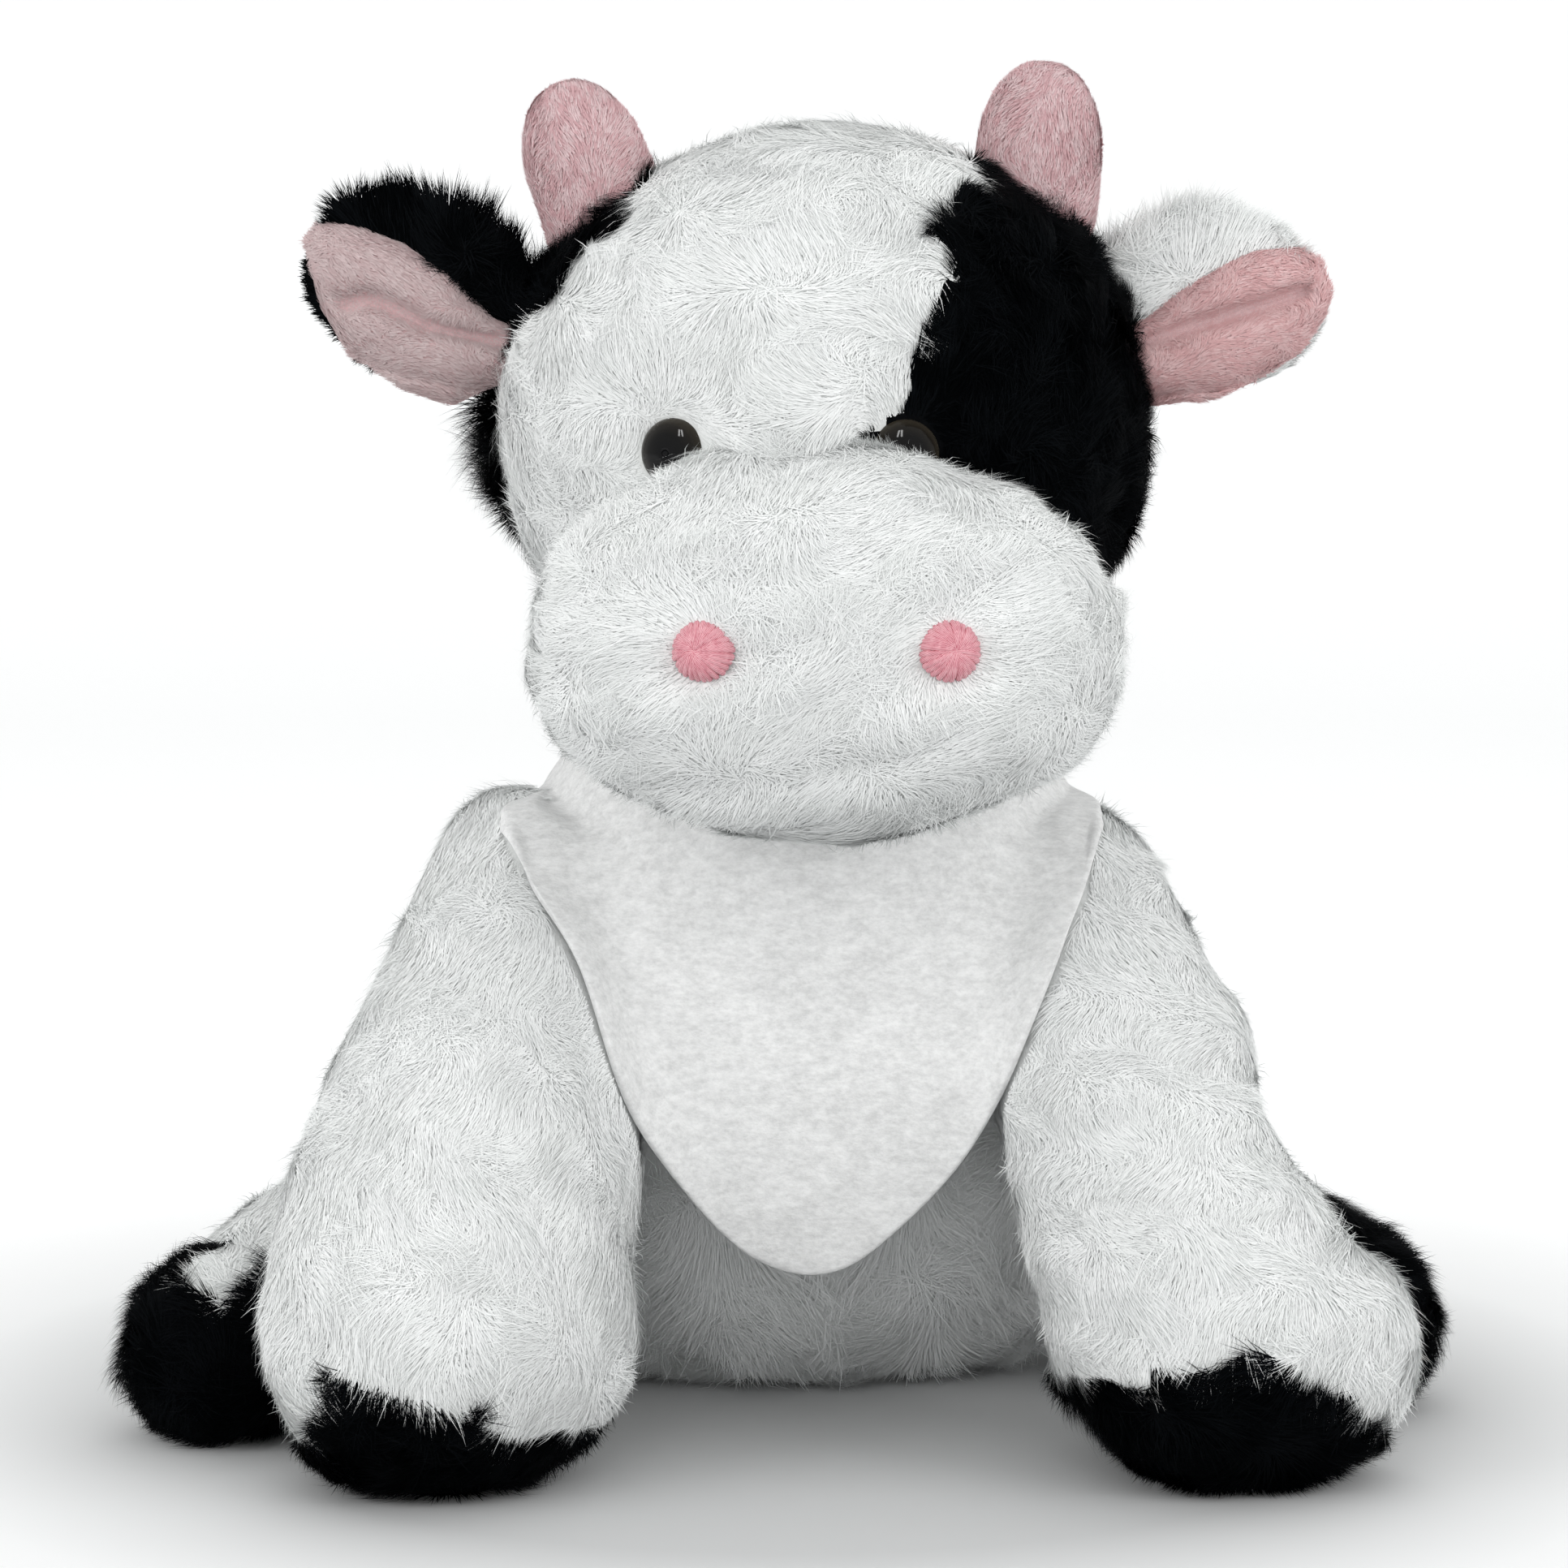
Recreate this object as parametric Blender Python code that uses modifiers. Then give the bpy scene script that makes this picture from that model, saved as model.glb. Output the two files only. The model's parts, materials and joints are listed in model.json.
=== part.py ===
"""A sitting plush cow with a round muzzle, stub horns, soft ears, a plain bib and stuffed limbs.

Left and right are as seen from the front, which faces -Y. The toy sits on the plane z = 0.
Every stuffed shape is a sleeve of pile fabric round a core of filling. A limb, ear, horn or
tail ends in a ball that lies in a dent of the larger form that carries it, so it can swing.
"""

import math

import bmesh
import bpy
from mathutils import Matrix, Vector

# Fabric, filling and clearances
PILE = 0.004
FELT = 0.0016
GAP = 0.0003
FLOOR_FLAT = 0.0005
BLOCK = 0.4

# Body, seated and leaning forwards towards its neck
BODY_HEIGHT = 0.1205
BODY_WIDTH = 0.142
BODY_DEPTH = 0.094
BODY_X = -0.0045
BODY_SEAT_Y = 0.066
BODY_LEAN = 0.025
BODY_SHARES = (
    (0.03, 0.60, 0.62, 0.00),
    (0.14, 0.88, 0.88, 0.05),
    (0.32, 1.00, 1.00, 0.20),
    (0.52, 0.98, 0.97, 0.45),
    (0.70, 0.88, 0.87, 0.70),
    (0.84, 0.72, 0.72, 0.88),
    (0.95, 0.48, 0.52, 0.97),
)
PELLET_BAG_TOP = 0.018

# Neck, a ball of filling between the body and the head
NECK_RADIUS = 0.020
NECK_Y = 0.040
NECK_RISE = 0.0005
NECK_Z = BODY_HEIGHT + NECK_RISE

# Head
SKULL_HEIGHT = 0.101
SKULL_WIDTH = 0.115
SKULL_DEPTH = 0.098
SKULL_Y = 0.020
SKULL_RISE = 0.011
SKULL_BOTTOM_Z = NECK_Z + SKULL_RISE
SKULL_SHARES = (
    (0.05, 0.46, 0.50, 0.0),
    (0.14, 0.76, 0.78, 0.0),
    (0.28, 0.95, 0.94, 0.0),
    (0.45, 1.00, 1.00, 0.0),
    (0.62, 0.99, 0.98, 0.0),
    (0.77, 0.87, 0.88, 0.0),
    (0.89, 0.62, 0.66, 0.0),
    (0.965, 0.34, 0.38, 0.0),
)

# Muzzle, a short wide drum whose front is a rounded oval
MUZZLE_WIDTH = 0.103
MUZZLE_HEIGHT = 0.064
MUZZLE_LENGTH = 0.070
MUZZLE_FRONT_Y = -0.0595
MUZZLE_RISE = 0.0125
MUZZLE_Z = SKULL_BOTTOM_Z + MUZZLE_RISE
MUZZLE_SHARES = (
    (0.06, 0.55, 0.55, 0.0),
    (0.20, 0.85, 0.85, 0.0),
    (0.42, 0.98, 0.98, 0.0),
    (0.64, 1.00, 1.00, 0.0),
    (0.82, 0.90, 0.89, 0.0),
    (0.94, 0.66, 0.64, 0.0),
)

# Eyes, domed buttons whose stems pass through the skin into a washer
EYE_RADIUS = 0.006
EYE_DOME = 0.0042
EYE_RIM = 0.0008
EYE_STEM_RADIUS = 0.0016
EYE_STEM_LENGTH = 0.0105
EYE_WASHER_RADIUS = 0.0048
EYE_WASHER_THICKNESS = 0.0011
EYE_WASHER_DEPTH = 0.0024
EYE_SEAT = 0.0012
EYE_RISE = 0.0455
EYE_Z = SKULL_BOTTOM_Z + EYE_RISE
EYE_PLACES = {"left": -0.0262, "right": 0.0137}

# Nostrils, domed discs of satin stitch let into the muzzle
NOSTRIL_RADIUS = 0.005
NOSTRIL_DOME = 0.0013
NOSTRIL_SEAT = 0.0010
NOSTRIL_X = 0.0206
NOSTRIL_RISE = 0.0025

# Ears, two layers of fabric on a ball. Their places are heights over the underside of the head.
EAR_BALL = 0.0075
EAR_LENGTH = 0.046
EAR_WIDTH = 0.035
EAR_THICKNESS = 0.0085
EAR_SPLIT = 0.0008
EAR_LINING_SHARE = 0.82
EAR_EASE = 0.0019
EAR_SHARES = (
    (0.10, 0.60, 0.42, 0.0),
    (0.30, 0.90, 0.86, 0.0),
    (0.52, 1.00, 1.00, 0.0),
    (0.75, 0.85, 0.86, 0.0),
    (0.92, 0.55, 0.48, 0.0),
)
EAR_PLACES = {
    "left": ((-0.0525, 0.022, 0.059), (-0.094, 0.018, 0.078)),
    "right": ((0.0525, 0.022, 0.058), (0.0915, 0.018, 0.075)),
}

# Horns, blunt stubs that lean outwards, placed as the ears are
HORN_BALL = 0.0110
HORN_LENGTH = 0.0265
HORN_RADIUS = 0.0118
HORN_EASE = 0.0017
HORN_SHARES = (
    (0.12, 0.84, 0.84, 0.0),
    (0.38, 0.96, 0.96, 0.0),
    (0.66, 0.86, 0.86, 0.0),
    (0.90, 0.52, 0.52, 0.0),
)
HORN_PLACES = {
    "left": ((-0.0385, 0.020, 0.0845), (-0.0475, 0.020, 0.110)),
    "right": ((0.0375, 0.020, 0.0870), (0.0395, 0.020, 0.113)),
}

# Front legs, hanging from the shoulders with their hooves on the floor
SHOULDER_RADIUS = 0.0192
FRONT_HOOF_RADIUS = 0.0302
SHOULDER_EASE = 0.0012
FRONT_SEAM_Z = 0.024
FRONT_LEG_SHARES = {
    "left": (
        (0.00, 0.00),
        (0.30, 0.48),
        (0.62, 0.92),
        (0.92, 1.06),
    ),
    "right": (
        (0.00, 0.00),
        (0.30, 0.30),
        (0.60, 0.40),
        (0.80, 0.64),
        (0.94, 1.06),
    ),
}
FRONT_PLACES = {
    "left": ((-0.0515, 0.0270, 0.0925), (-0.068, -0.030)),
    "right": ((0.0425, 0.0270, 0.0925), (0.068, -0.026)),
}

# Hind legs, lying forwards and outwards along the floor
HIP_RADIUS = 0.020
HIND_HOOF_RADIUS = 0.0170
HIP_EASE = 0.0022
HIND_SEAM_SHARE = 0.97
HIND_LEG_SHARES = (
    (0.00, 0.00),
    (0.36, -0.50),
    (0.70, 0.30),
    (1.00, 1.00),
)
HIND_PLACES = {
    "left": ((-0.0655, 0.066, 0.033), (-0.108, 0.003)),
    "right": ((0.0575, 0.066, 0.033), (0.096, 0.028)),
}

# Tail, hanging behind
TAIL_BALL = 0.006
TAIL_TUFT_RADIUS = 0.0075
TAIL_LENGTH = 0.029
TAIL_SEAM_SHARE = 0.72
TAIL_EASE = 0.0012
TAIL_PIVOT = (BODY_X, 0.1035, 0.045)
TAIL_SLOPE_SHARES = (0.0, 0.42, -0.91)
TAIL_SHARES = (
    (0.00, 0.00),
    (0.40, -0.50),
    (0.72, 0.20),
    (1.00, 1.00),
)

# Bib: a collar round the neck and a pointed flap in front
COLLAR_HEIGHT = 0.012
COLLAR_TOP_WIDTH = 0.080
COLLAR_TOP_DEPTH = 0.070
COLLAR_BOTTOM_WIDTH = 0.096
COLLAR_BOTTOM_DEPTH = 0.084
COLLAR_X = -0.003
COLLAR_Y = 0.035
COLLAR_DROP = 0.0025
COLLAR_Z = NECK_Z - COLLAR_DROP
COLLAR_TILT = math.radians(11)
COLLAR_SIDES = 28
FLAP_WIDTH = 0.108
FLAP_HEIGHT = 0.073
FLAP_FOLD = 0.0016
FLAP_FORWARD = 0.0125
FLAP_X = 0.001
FLAP_COLUMNS = 10
FLAP_WAVES = 3
FLAP_LEAN_SHARE = 1.4
FLAP_SHARES = (
    (0.00, 0.84),
    (0.07, 1.00),
    (0.20, 0.93),
    (0.36, 0.81),
    (0.54, 0.65),
    (0.70, 0.52),
    (0.82, 0.38),
    (0.93, 0.20),
    (1.00, 0.05),
)

# Care label, a bare folded tape sewn in low on the right
LABEL_WIDTH = 0.012
LABEL_HEIGHT = 0.006
LABEL_THICKNESS = 0.0008
LABEL_X = 0.031
LABEL_Z = 0.010

# How finely the shapes are divided
SIDES_LARGE = 10
SIDES_LIMB = 8
SIDES_INNER = 6
BALL_STEPS = 12
BALL_RINGS = 8
BALL_SHARE = 0.9
BALL_TURN = math.radians(17)
TURNED_STEPS = 12

WHITE_PILE = ("white_pile", (0.80, 0.82, 0.81), 0.95)
BLACK_PILE = ("black_pile", (0.012, 0.013, 0.015), 0.9)
PINK_PILE = ("pink_pile", (0.77, 0.45, 0.47), 0.9)
STITCH = ("satin_stitch", (0.80, 0.26, 0.33), 0.6)
FELT_CLOTH = ("felt_cloth", (0.74, 0.75, 0.76), 0.95)
FILLING = ("filling", (0.90, 0.90, 0.88), 1.0)
PELLETS = ("pellet_cloth", (0.72, 0.72, 0.68), 0.9)
EYE_PLASTIC = ("eye_plastic", (0.012, 0.007, 0.005), 0.06)
WASHER_PLASTIC = ("washer_plastic", (0.80, 0.80, 0.80), 0.5)
TAPE = ("label_tape", (0.86, 0.86, 0.84), 0.7)


def clear_scene():
    for item in list(bpy.data.objects):
        bpy.data.objects.remove(item, do_unlink=True)


def collection(name, helper=False):
    made = bpy.data.collections.new(name)
    made.hide_render = helper
    bpy.context.scene.collection.children.link(made)
    return made


def material(name, colour, roughness):
    """The named material, made on its first use."""
    made = bpy.data.materials.get(name)
    if made is None:
        made = bpy.data.materials.new(name)
        made.use_nodes = True
        shader = made.node_tree.nodes["Principled BSDF"]
        shader.inputs["Base Color"].default_value = (*colour, 1)
        shader.inputs["Roughness"].default_value = roughness
        shader.inputs["Metallic"].default_value = 0
    return made


def helper(name, mesh, frame):
    """A hidden shape that cuts or joins the pieces."""
    made = bpy.data.objects.new(name, mesh)
    cutters.objects.link(made)
    made.hide_render = True
    made.display_type = "WIRE"
    made.parent = root
    made.matrix_basis = frame
    return made


def piece(shape, name, look, carrier):
    """Turns a helper shape into a piece of the toy, carried by an empty on its joint."""
    cutters.objects.unlink(shape)
    parts.objects.link(shape)
    shape.name = name
    shape.hide_render = False
    shape.display_type = "TEXTURED"
    frame = shape.matrix_basis.copy()
    shape.parent = carrier
    shape.matrix_basis = carrier_frame(carrier).inverted() @ frame
    shape.data.materials.append(material(*look))
    shape.data.shade_smooth()
    shape.data.set_sharp_from_angle(angle=math.radians(40))
    return shape


def carrier_frame(carrier):
    """Where an empty stands, measured from the root."""
    frame = Matrix.Identity(4)
    while carrier is not root:
        frame = carrier.matrix_basis @ frame
        carrier = carrier.parent
    return frame


def joint(name, place, parent):
    """An empty on a joint's axis, carried by another empty."""
    made = bpy.data.objects.new(name, None)
    parts.objects.link(made)
    made.parent = parent
    made.matrix_basis = carrier_frame(parent).inverted() @ Matrix.Translation(place)
    return made


def boolean(target, other, operation, solver):
    step = target.modifiers.new(operation.title(), "BOOLEAN")
    step.operation = operation
    step.solver = solver
    step.object = other


def cut(target, *others, solver="EXACT"):
    for other in others:
        boolean(target, other, "DIFFERENCE", solver)


def cut_again(target, *others):
    """A cut of a thin or swinging shape, which the exact solver sometimes empties."""
    cut(target, *others, solver="MANIFOLD")


def join(target, other):
    boolean(target, other, "UNION", "MANIFOLD")


def to_mesh(name, cage):
    mesh = bpy.data.meshes.new(name)
    cage.to_mesh(mesh)
    cage.free()
    return mesh


def soft_form(name, rings, low, high, sides, frame):
    """A closed soft shape: a sphere's rings moved to the sections, rounded by one subdivision.

    A ring is its height, half width, half depth and shift. Low and high are the two ends.
    """
    cage = bmesh.new()
    rows = len(rings) + 1
    bmesh.ops.create_uvsphere(cage, u_segments=sides, v_segments=rows, radius=1)
    fullness = 1 / math.cos(math.pi / sides)
    for point in cage.verts:
        row = round(rows * math.acos(max(-1, min(1, -point.co.z))) / math.pi)
        if row == 0:
            point.co = (0, rings[0][3], low)
        elif row == rows:
            point.co = (0, rings[-1][3], high)
        else:
            height, wide, deep, shift = rings[row - 1]
            around = Vector((point.co.x, point.co.y)).normalized() * fullness
            point.co = (around.x * wide, around.y * deep + shift, height)
    made = helper(name, to_mesh(name, cage), frame)
    rounding = made.modifiers.new("Rounding", "SUBSURF")
    rounding.levels = 1
    rounding.render_levels = 1
    return made


def share_rings(shares, length, width, depth, lean, inset):
    """The rings of a form given as shares of its own size, drawn in by the inset."""
    return [
        (
            inset + at * (length - 2 * inset),
            (width / 2 - inset) * wide,
            (depth / 2 - inset) * deep,
            -lean * shift,
        )
        for at, wide, deep, shift in shares
    ]


def sides_at(inset):
    """A surface inside a skin is never seen, so it is plainer."""
    return SIDES_INNER if inset > 0 else SIDES_LARGE


def body_form(name, inset=0.0):
    rings = share_rings(BODY_SHARES, BODY_HEIGHT, BODY_WIDTH, BODY_DEPTH, BODY_LEAN, inset)
    seat = Matrix.Translation((BODY_X, BODY_SEAT_Y, body_drop))
    return soft_form(name, rings, inset, BODY_HEIGHT - inset, sides_at(inset), seat)


def skull_form(name, inset=0.0):
    rings = share_rings(SKULL_SHARES, SKULL_HEIGHT, SKULL_WIDTH, SKULL_DEPTH, 0, inset)
    seat = Matrix.Translation((0, SKULL_Y, SKULL_BOTTOM_Z))
    return soft_form(name, rings, inset, SKULL_HEIGHT - inset, sides_at(inset), seat)


def muzzle_form(name, inset=0.0):
    rings = share_rings(MUZZLE_SHARES, MUZZLE_LENGTH, MUZZLE_WIDTH, MUZZLE_HEIGHT, 0, inset)
    back = MUZZLE_FRONT_Y + MUZZLE_LENGTH
    lying = Matrix.Translation((0, back, MUZZLE_Z)) @ Matrix.Rotation(math.pi / 2, 4, "X")
    return soft_form(name, rings, inset, MUZZLE_LENGTH - inset, sides_at(inset), lying)


def limb_form(name, shares, root_radius, end_radius, length, inset, frame):
    """A stuffed tube from inside its ball root to a round end, at any inset."""
    rings = []
    for along, swell in shares:
        radius = root_radius + (end_radius - root_radius) * swell - inset
        rings.append((along * length, radius, radius, 0))
    rings[0] = (0, rings[0][1] * BALL_SHARE, rings[0][2] * BALL_SHARE, 0)
    end = end_radius - inset
    for angle in (math.pi / 6, math.pi / 3):
        rings.append((length + end * math.sin(angle), end * math.cos(angle), end * math.cos(angle), 0))
    low = -BALL_SHARE * (root_radius - inset) / 2
    sides = SIDES_INNER if inset > 0 else SIDES_LIMB
    return soft_form(name, rings, low, length + end, sides, frame)


def ball(name, radius, place, tip=0.0, spin=0.0):
    shape = bmesh.new()
    bmesh.ops.create_uvsphere(shape, u_segments=BALL_STEPS, v_segments=BALL_RINGS, radius=radius)
    turn = Matrix.Rotation(BALL_TURN + tip, 4, "X") @ Matrix.Rotation(BALL_TURN + spin, 4, "Z")
    return helper(name, to_mesh(name, shape), Matrix.Translation(place) @ turn)


def socket(name, radius, place):
    """The dent for a ball, large enough that its flat facets keep the gap.

    It lies across the ball's own facets, so that the ball's corners come near its flats.
    """
    half_step = math.pi / BALL_STEPS
    facet_share = math.cos(half_step) * math.cos(math.pi / BALL_RINGS / 2)
    return ball(name, (radius + GAP) / facet_share, place, math.pi / 2, half_step)


def beyond(name, place, direction):
    """A block that holds everything past a plane, on the side that the direction points to."""
    shape = bmesh.new()
    bmesh.ops.create_cube(shape, size=BLOCK)
    facing = Vector(direction).normalized()
    middle = Vector(place) + facing * BLOCK / 2
    turn = facing.to_track_quat("Z", "Y").to_matrix().to_4x4()
    return helper(name, to_mesh(name, shape), Matrix.Translation(middle) @ turn)


def frame_along(place, axis, front):
    """A frame whose Z runs along the axis and whose X is as near the front as it can be."""
    along = Vector(axis).normalized()
    face = (Vector(front) - along * along.dot(Vector(front))).normalized()
    side = along.cross(face)
    turn = Matrix((face, side, along)).transposed().to_4x4()
    return Matrix.Translation(place) @ turn


def turned(name, profile, frame, closed=False):
    """A turned shape: its outer side runs from top to bottom."""
    outline = bmesh.new()
    points = [outline.verts.new((radius, 0, height)) for radius, height in profile]
    for first, second in zip(points, points[1:]):
        outline.edges.new((first, second))
    if closed:
        outline.edges.new((points[-1], points[0]))
    made = helper(name, to_mesh(name, outline), frame)
    screw = made.modifiers.new("Turning", "SCREW")
    screw.steps = TURNED_STEPS
    screw.render_steps = TURNED_STEPS
    screw.use_merge_vertices = True
    screw.merge_threshold = GAP / 10
    return made


def world_points(shape):
    graph = bpy.context.evaluated_depsgraph_get()
    shown = shape.evaluated_get(graph)
    return [shown.matrix_world @ point.co for point in shown.to_mesh().vertices]


def touch(shape, start, direction):
    """Where a straight line first meets a shape, and the surface's direction there."""
    graph = bpy.context.evaluated_depsgraph_get()
    shown = shape.evaluated_get(graph)
    back = shown.matrix_world.inverted()
    found, place, facing, _ = shown.ray_cast(back @ Vector(start), back.to_3x3() @ Vector(direction))
    if not found:
        raise ValueError(f"nothing of {shape.name} lies along the line from {start}")
    return shown.matrix_world @ place, (shown.matrix_world.to_3x3() @ facing).normalized()


def swinging_solid(name, form, host, ball_radius, inset, pivot, ease):
    """A form cut clear of the larger one over its whole swing, joined to its ball root."""
    cut_again(form, host(f"{name}_host", -ease - inset / 2))
    join(form, ball(f"{name}_root", ball_radius - inset, pivot))
    return form


def settled(end, pivot, radii, shares):
    """The middle of a leg's round end, at the height where the floor flattens it."""
    direction = end - pivot
    frame = frame_along(pivot, direction, (0, -1, 0))
    probe = limb_form("settling", shares, *radii, direction.length, 0, frame)
    lowest = min(point.z for point in world_points(probe))
    bpy.data.objects.remove(probe)
    return end - Vector((0, 0, lowest + FLOOR_FLAT))


def build_leg(side, kind, places, radii, shares, seam, ease, carrier):
    """A leg's fabric sleeve, its hoof and its core of filling, on its joint."""
    pivot, end = places
    root_radius, end_radius = radii
    direction = end - pivot
    frame = frame_along(pivot, direction, (0, -1, 0))
    name = f"{kind}_leg_{side}"

    def solid(label, inset):
        form = limb_form(label, shares, root_radius, end_radius, direction.length, inset, frame)
        return swinging_solid(label, form, body_form, root_radius, inset, pivot, ease)

    holder = joint(f"{name}_joint", pivot, carrier)
    seam_place, seam_direction = seam
    past_seam = beyond(f"{name}_past_seam", seam_place, seam_direction)
    before = Vector(seam_place) + Vector(seam_direction).normalized() * GAP
    before_seam = beyond(f"{name}_before_seam", before, -Vector(seam_direction))
    sleeve = solid(f"{name}_sleeve", 0)
    cut_again(sleeve, solid(f"{name}_hollow", PILE), past_seam, floor)
    hoof = limb_form(f"{name}_cap", shares, root_radius, end_radius, direction.length, 0, frame)
    hollow = limb_form(f"{name}_cap_hollow", shares, root_radius, end_radius, direction.length, PILE, frame)
    cut_again(hoof, hollow, before_seam, floor)
    core = solid(f"{name}_core", PILE + GAP)
    piece(sleeve, f"{name}_skin", WHITE_PILE, holder)
    piece(hoof, f"{kind}_hoof_{side}", BLACK_PILE, holder)
    piece(core, f"{name}_stuffing", FILLING, holder)
    return socket(f"{name}_socket", root_radius, pivot)


def build_front_leg(side):
    pivot, foot = (Vector(place) for place in FRONT_PLACES[side])
    radii = (SHOULDER_RADIUS, FRONT_HOOF_RADIUS)
    shares = FRONT_LEG_SHARES[side]
    end = settled(foot.to_3d() + Vector((0, 0, FRONT_HOOF_RADIUS)), pivot, radii, shares)
    seam = (Vector((0, 0, FRONT_SEAM_Z)), Vector((0, 0, -1)))
    places = (pivot, end)
    return build_leg(side, "front", places, radii, shares, seam, SHOULDER_EASE, root_joint)


def build_hind_leg(side):
    pivot, foot = (Vector(place) for place in HIND_PLACES[side])
    radii = (HIP_RADIUS, HIND_HOOF_RADIUS)
    end = settled(foot.to_3d() + Vector((0, 0, HIND_HOOF_RADIUS)), pivot, radii, HIND_LEG_SHARES)
    seam = (pivot.lerp(end, HIND_SEAM_SHARE), end - pivot)
    places = (pivot, end)
    return build_leg(side, "hind", places, radii, HIND_LEG_SHARES, seam, HIP_EASE, root_joint)


def build_tail():
    direction = Vector(TAIL_SLOPE_SHARES).normalized()
    pivot = Vector(TAIL_PIVOT)
    frame = frame_along(pivot, direction, (0, -1, 0))
    holder = joint("tail_joint", pivot, root_joint)
    seam = pivot + direction * TAIL_LENGTH * TAIL_SEAM_SHARE

    def stalk(label):
        return limb_form(label, TAIL_SHARES, TAIL_BALL, TAIL_TUFT_RADIUS, TAIL_LENGTH, 0, frame)

    tail = swinging_solid("tail", stalk("tail_form"), body_form, TAIL_BALL, 0, pivot, TAIL_EASE)
    cut_again(tail, beyond("tail_past_seam", seam, direction))
    tuft = stalk("tuft_form")
    cut_again(tuft, beyond("tail_before_seam", seam + direction * GAP, -direction))
    piece(tail, "tail", WHITE_PILE, holder)
    piece(tuft, "tail_tuft", BLACK_PILE, holder)
    return socket("tail_socket", TAIL_BALL, pivot)


def over_head(places):
    """Places given by their heights over the underside of the head."""
    return (Vector(place) + Vector((0, 0, SKULL_BOTTOM_Z)) for place in places)


def build_ear(side, carrier):
    """An ear's outer layer on its ball, and the thinner lining that lies in its front."""
    pivot, tip = over_head(EAR_PLACES[side])
    frame = frame_along(pivot, tip - pivot, (0, -1, 0))
    holder = joint(f"ear_{side}_joint", pivot, carrier)

    def leaf(label, share):
        width = EAR_WIDTH * share
        length = EAR_LENGTH * (1 + share) / 2
        rings = share_rings(EAR_SHARES, length, EAR_THICKNESS, width, 0, 0)
        form = soft_form(label, rings, 0, length, SIDES_INNER, frame)
        cut_again(form, skull_form(f"{label}_host", -EAR_EASE))
        return form

    front = frame.to_3x3() @ Vector((1, 0, 0))
    split = pivot + front * EAR_SPLIT
    outer = leaf(f"ear_{side}_leaf", 1)
    cut_again(outer, beyond(f"ear_{side}_front", split, front))
    join(outer, ball(f"ear_{side}_root", EAR_BALL, pivot))
    lining = leaf(f"ear_{side}_inner_leaf", EAR_LINING_SHARE)
    cut_again(lining, beyond(f"ear_{side}_back", split + front * GAP, -front))
    along = (tip - pivot).normalized()
    root_end = pivot + along * (EAR_BALL + 2 * GAP)
    cut_again(lining, beyond(f"ear_{side}_root_gap", root_end, -along))
    piece(outer, f"ear_{side}_outer", BLACK_PILE if side == "left" else WHITE_PILE, holder)
    piece(lining, f"ear_{side}_lining", PINK_PILE, holder)
    return socket(f"ear_{side}_socket", EAR_BALL, pivot)


def build_horn(side, carrier):
    pivot, tip = over_head(HORN_PLACES[side])
    frame = frame_along(pivot, tip - pivot, (0, -1, 0))
    holder = joint(f"horn_{side}_joint", pivot, carrier)
    width = 2 * HORN_RADIUS
    rings = share_rings(HORN_SHARES, HORN_LENGTH, width, width, 0, 0)
    form = soft_form(f"horn_{side}_form", rings, 0, HORN_LENGTH, SIDES_LIMB, frame)
    horn = swinging_solid(f"horn_{side}", form, skull_form, HORN_BALL, 0, pivot, HORN_EASE)
    piece(horn, f"horn_{side}", PINK_PILE, holder)
    return socket(f"horn_{side}_socket", HORN_BALL, pivot)


def eye_profile(radius, dome, rim, growth):
    """The outline of a domed button and its stem, grown all round where it is a pocket."""
    arc = [math.pi / 2 * step / 4 for step in range(5)]
    top = [(math.sin(a) * (radius + growth), math.cos(a) * (dome + growth)) for a in arc]
    stem = EYE_STEM_RADIUS + growth
    return [
        *top,
        (radius + growth, -rim - growth),
        (stem, -rim - growth),
        (stem, -EYE_STEM_LENGTH - growth),
        (0, -EYE_STEM_LENGTH - growth),
    ]


def build_eye(side, skull, carrier):
    """A button eye, its washer behind the skin, and the pockets that they need."""
    start = (EYE_PLACES[side], -BLOCK, EYE_Z)
    place, facing = touch(skull, start, (0, 1, 0))
    seat = place - facing * EYE_SEAT
    frame = frame_along(seat, facing, (0, 0, 1))
    profile = eye_profile(EYE_RADIUS, EYE_DOME, EYE_RIM, 0)
    pocket = eye_profile(EYE_RADIUS, EYE_DOME + EYE_STEM_LENGTH, EYE_RIM, GAP)
    # Behind the skin the washer sits in a short round pocket of the filling.
    inner = EYE_STEM_RADIUS + GAP
    outer = EYE_WASHER_RADIUS
    near = -(PILE + EYE_WASHER_DEPTH)
    far = near - EYE_WASHER_THICKNESS
    ring = [(inner, near), (outer, near), (outer, far), (inner, far)]
    end = -EYE_STEM_LENGTH - 2 * GAP
    room = [(0, 0), (outer + GAP, 0), (outer + GAP, end), (0, end)]
    piece(turned(f"eye_{side}_button", profile, frame), f"eye_{side}", EYE_PLASTIC, carrier)
    washer = turned(f"eye_{side}_ring", ring, frame, closed=True)
    piece(washer, f"eye_washer_{side}", WASHER_PLASTIC, carrier)
    return turned(f"eye_{side}_pocket", pocket, frame), turned(f"eye_{side}_room", room, frame)


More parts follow.
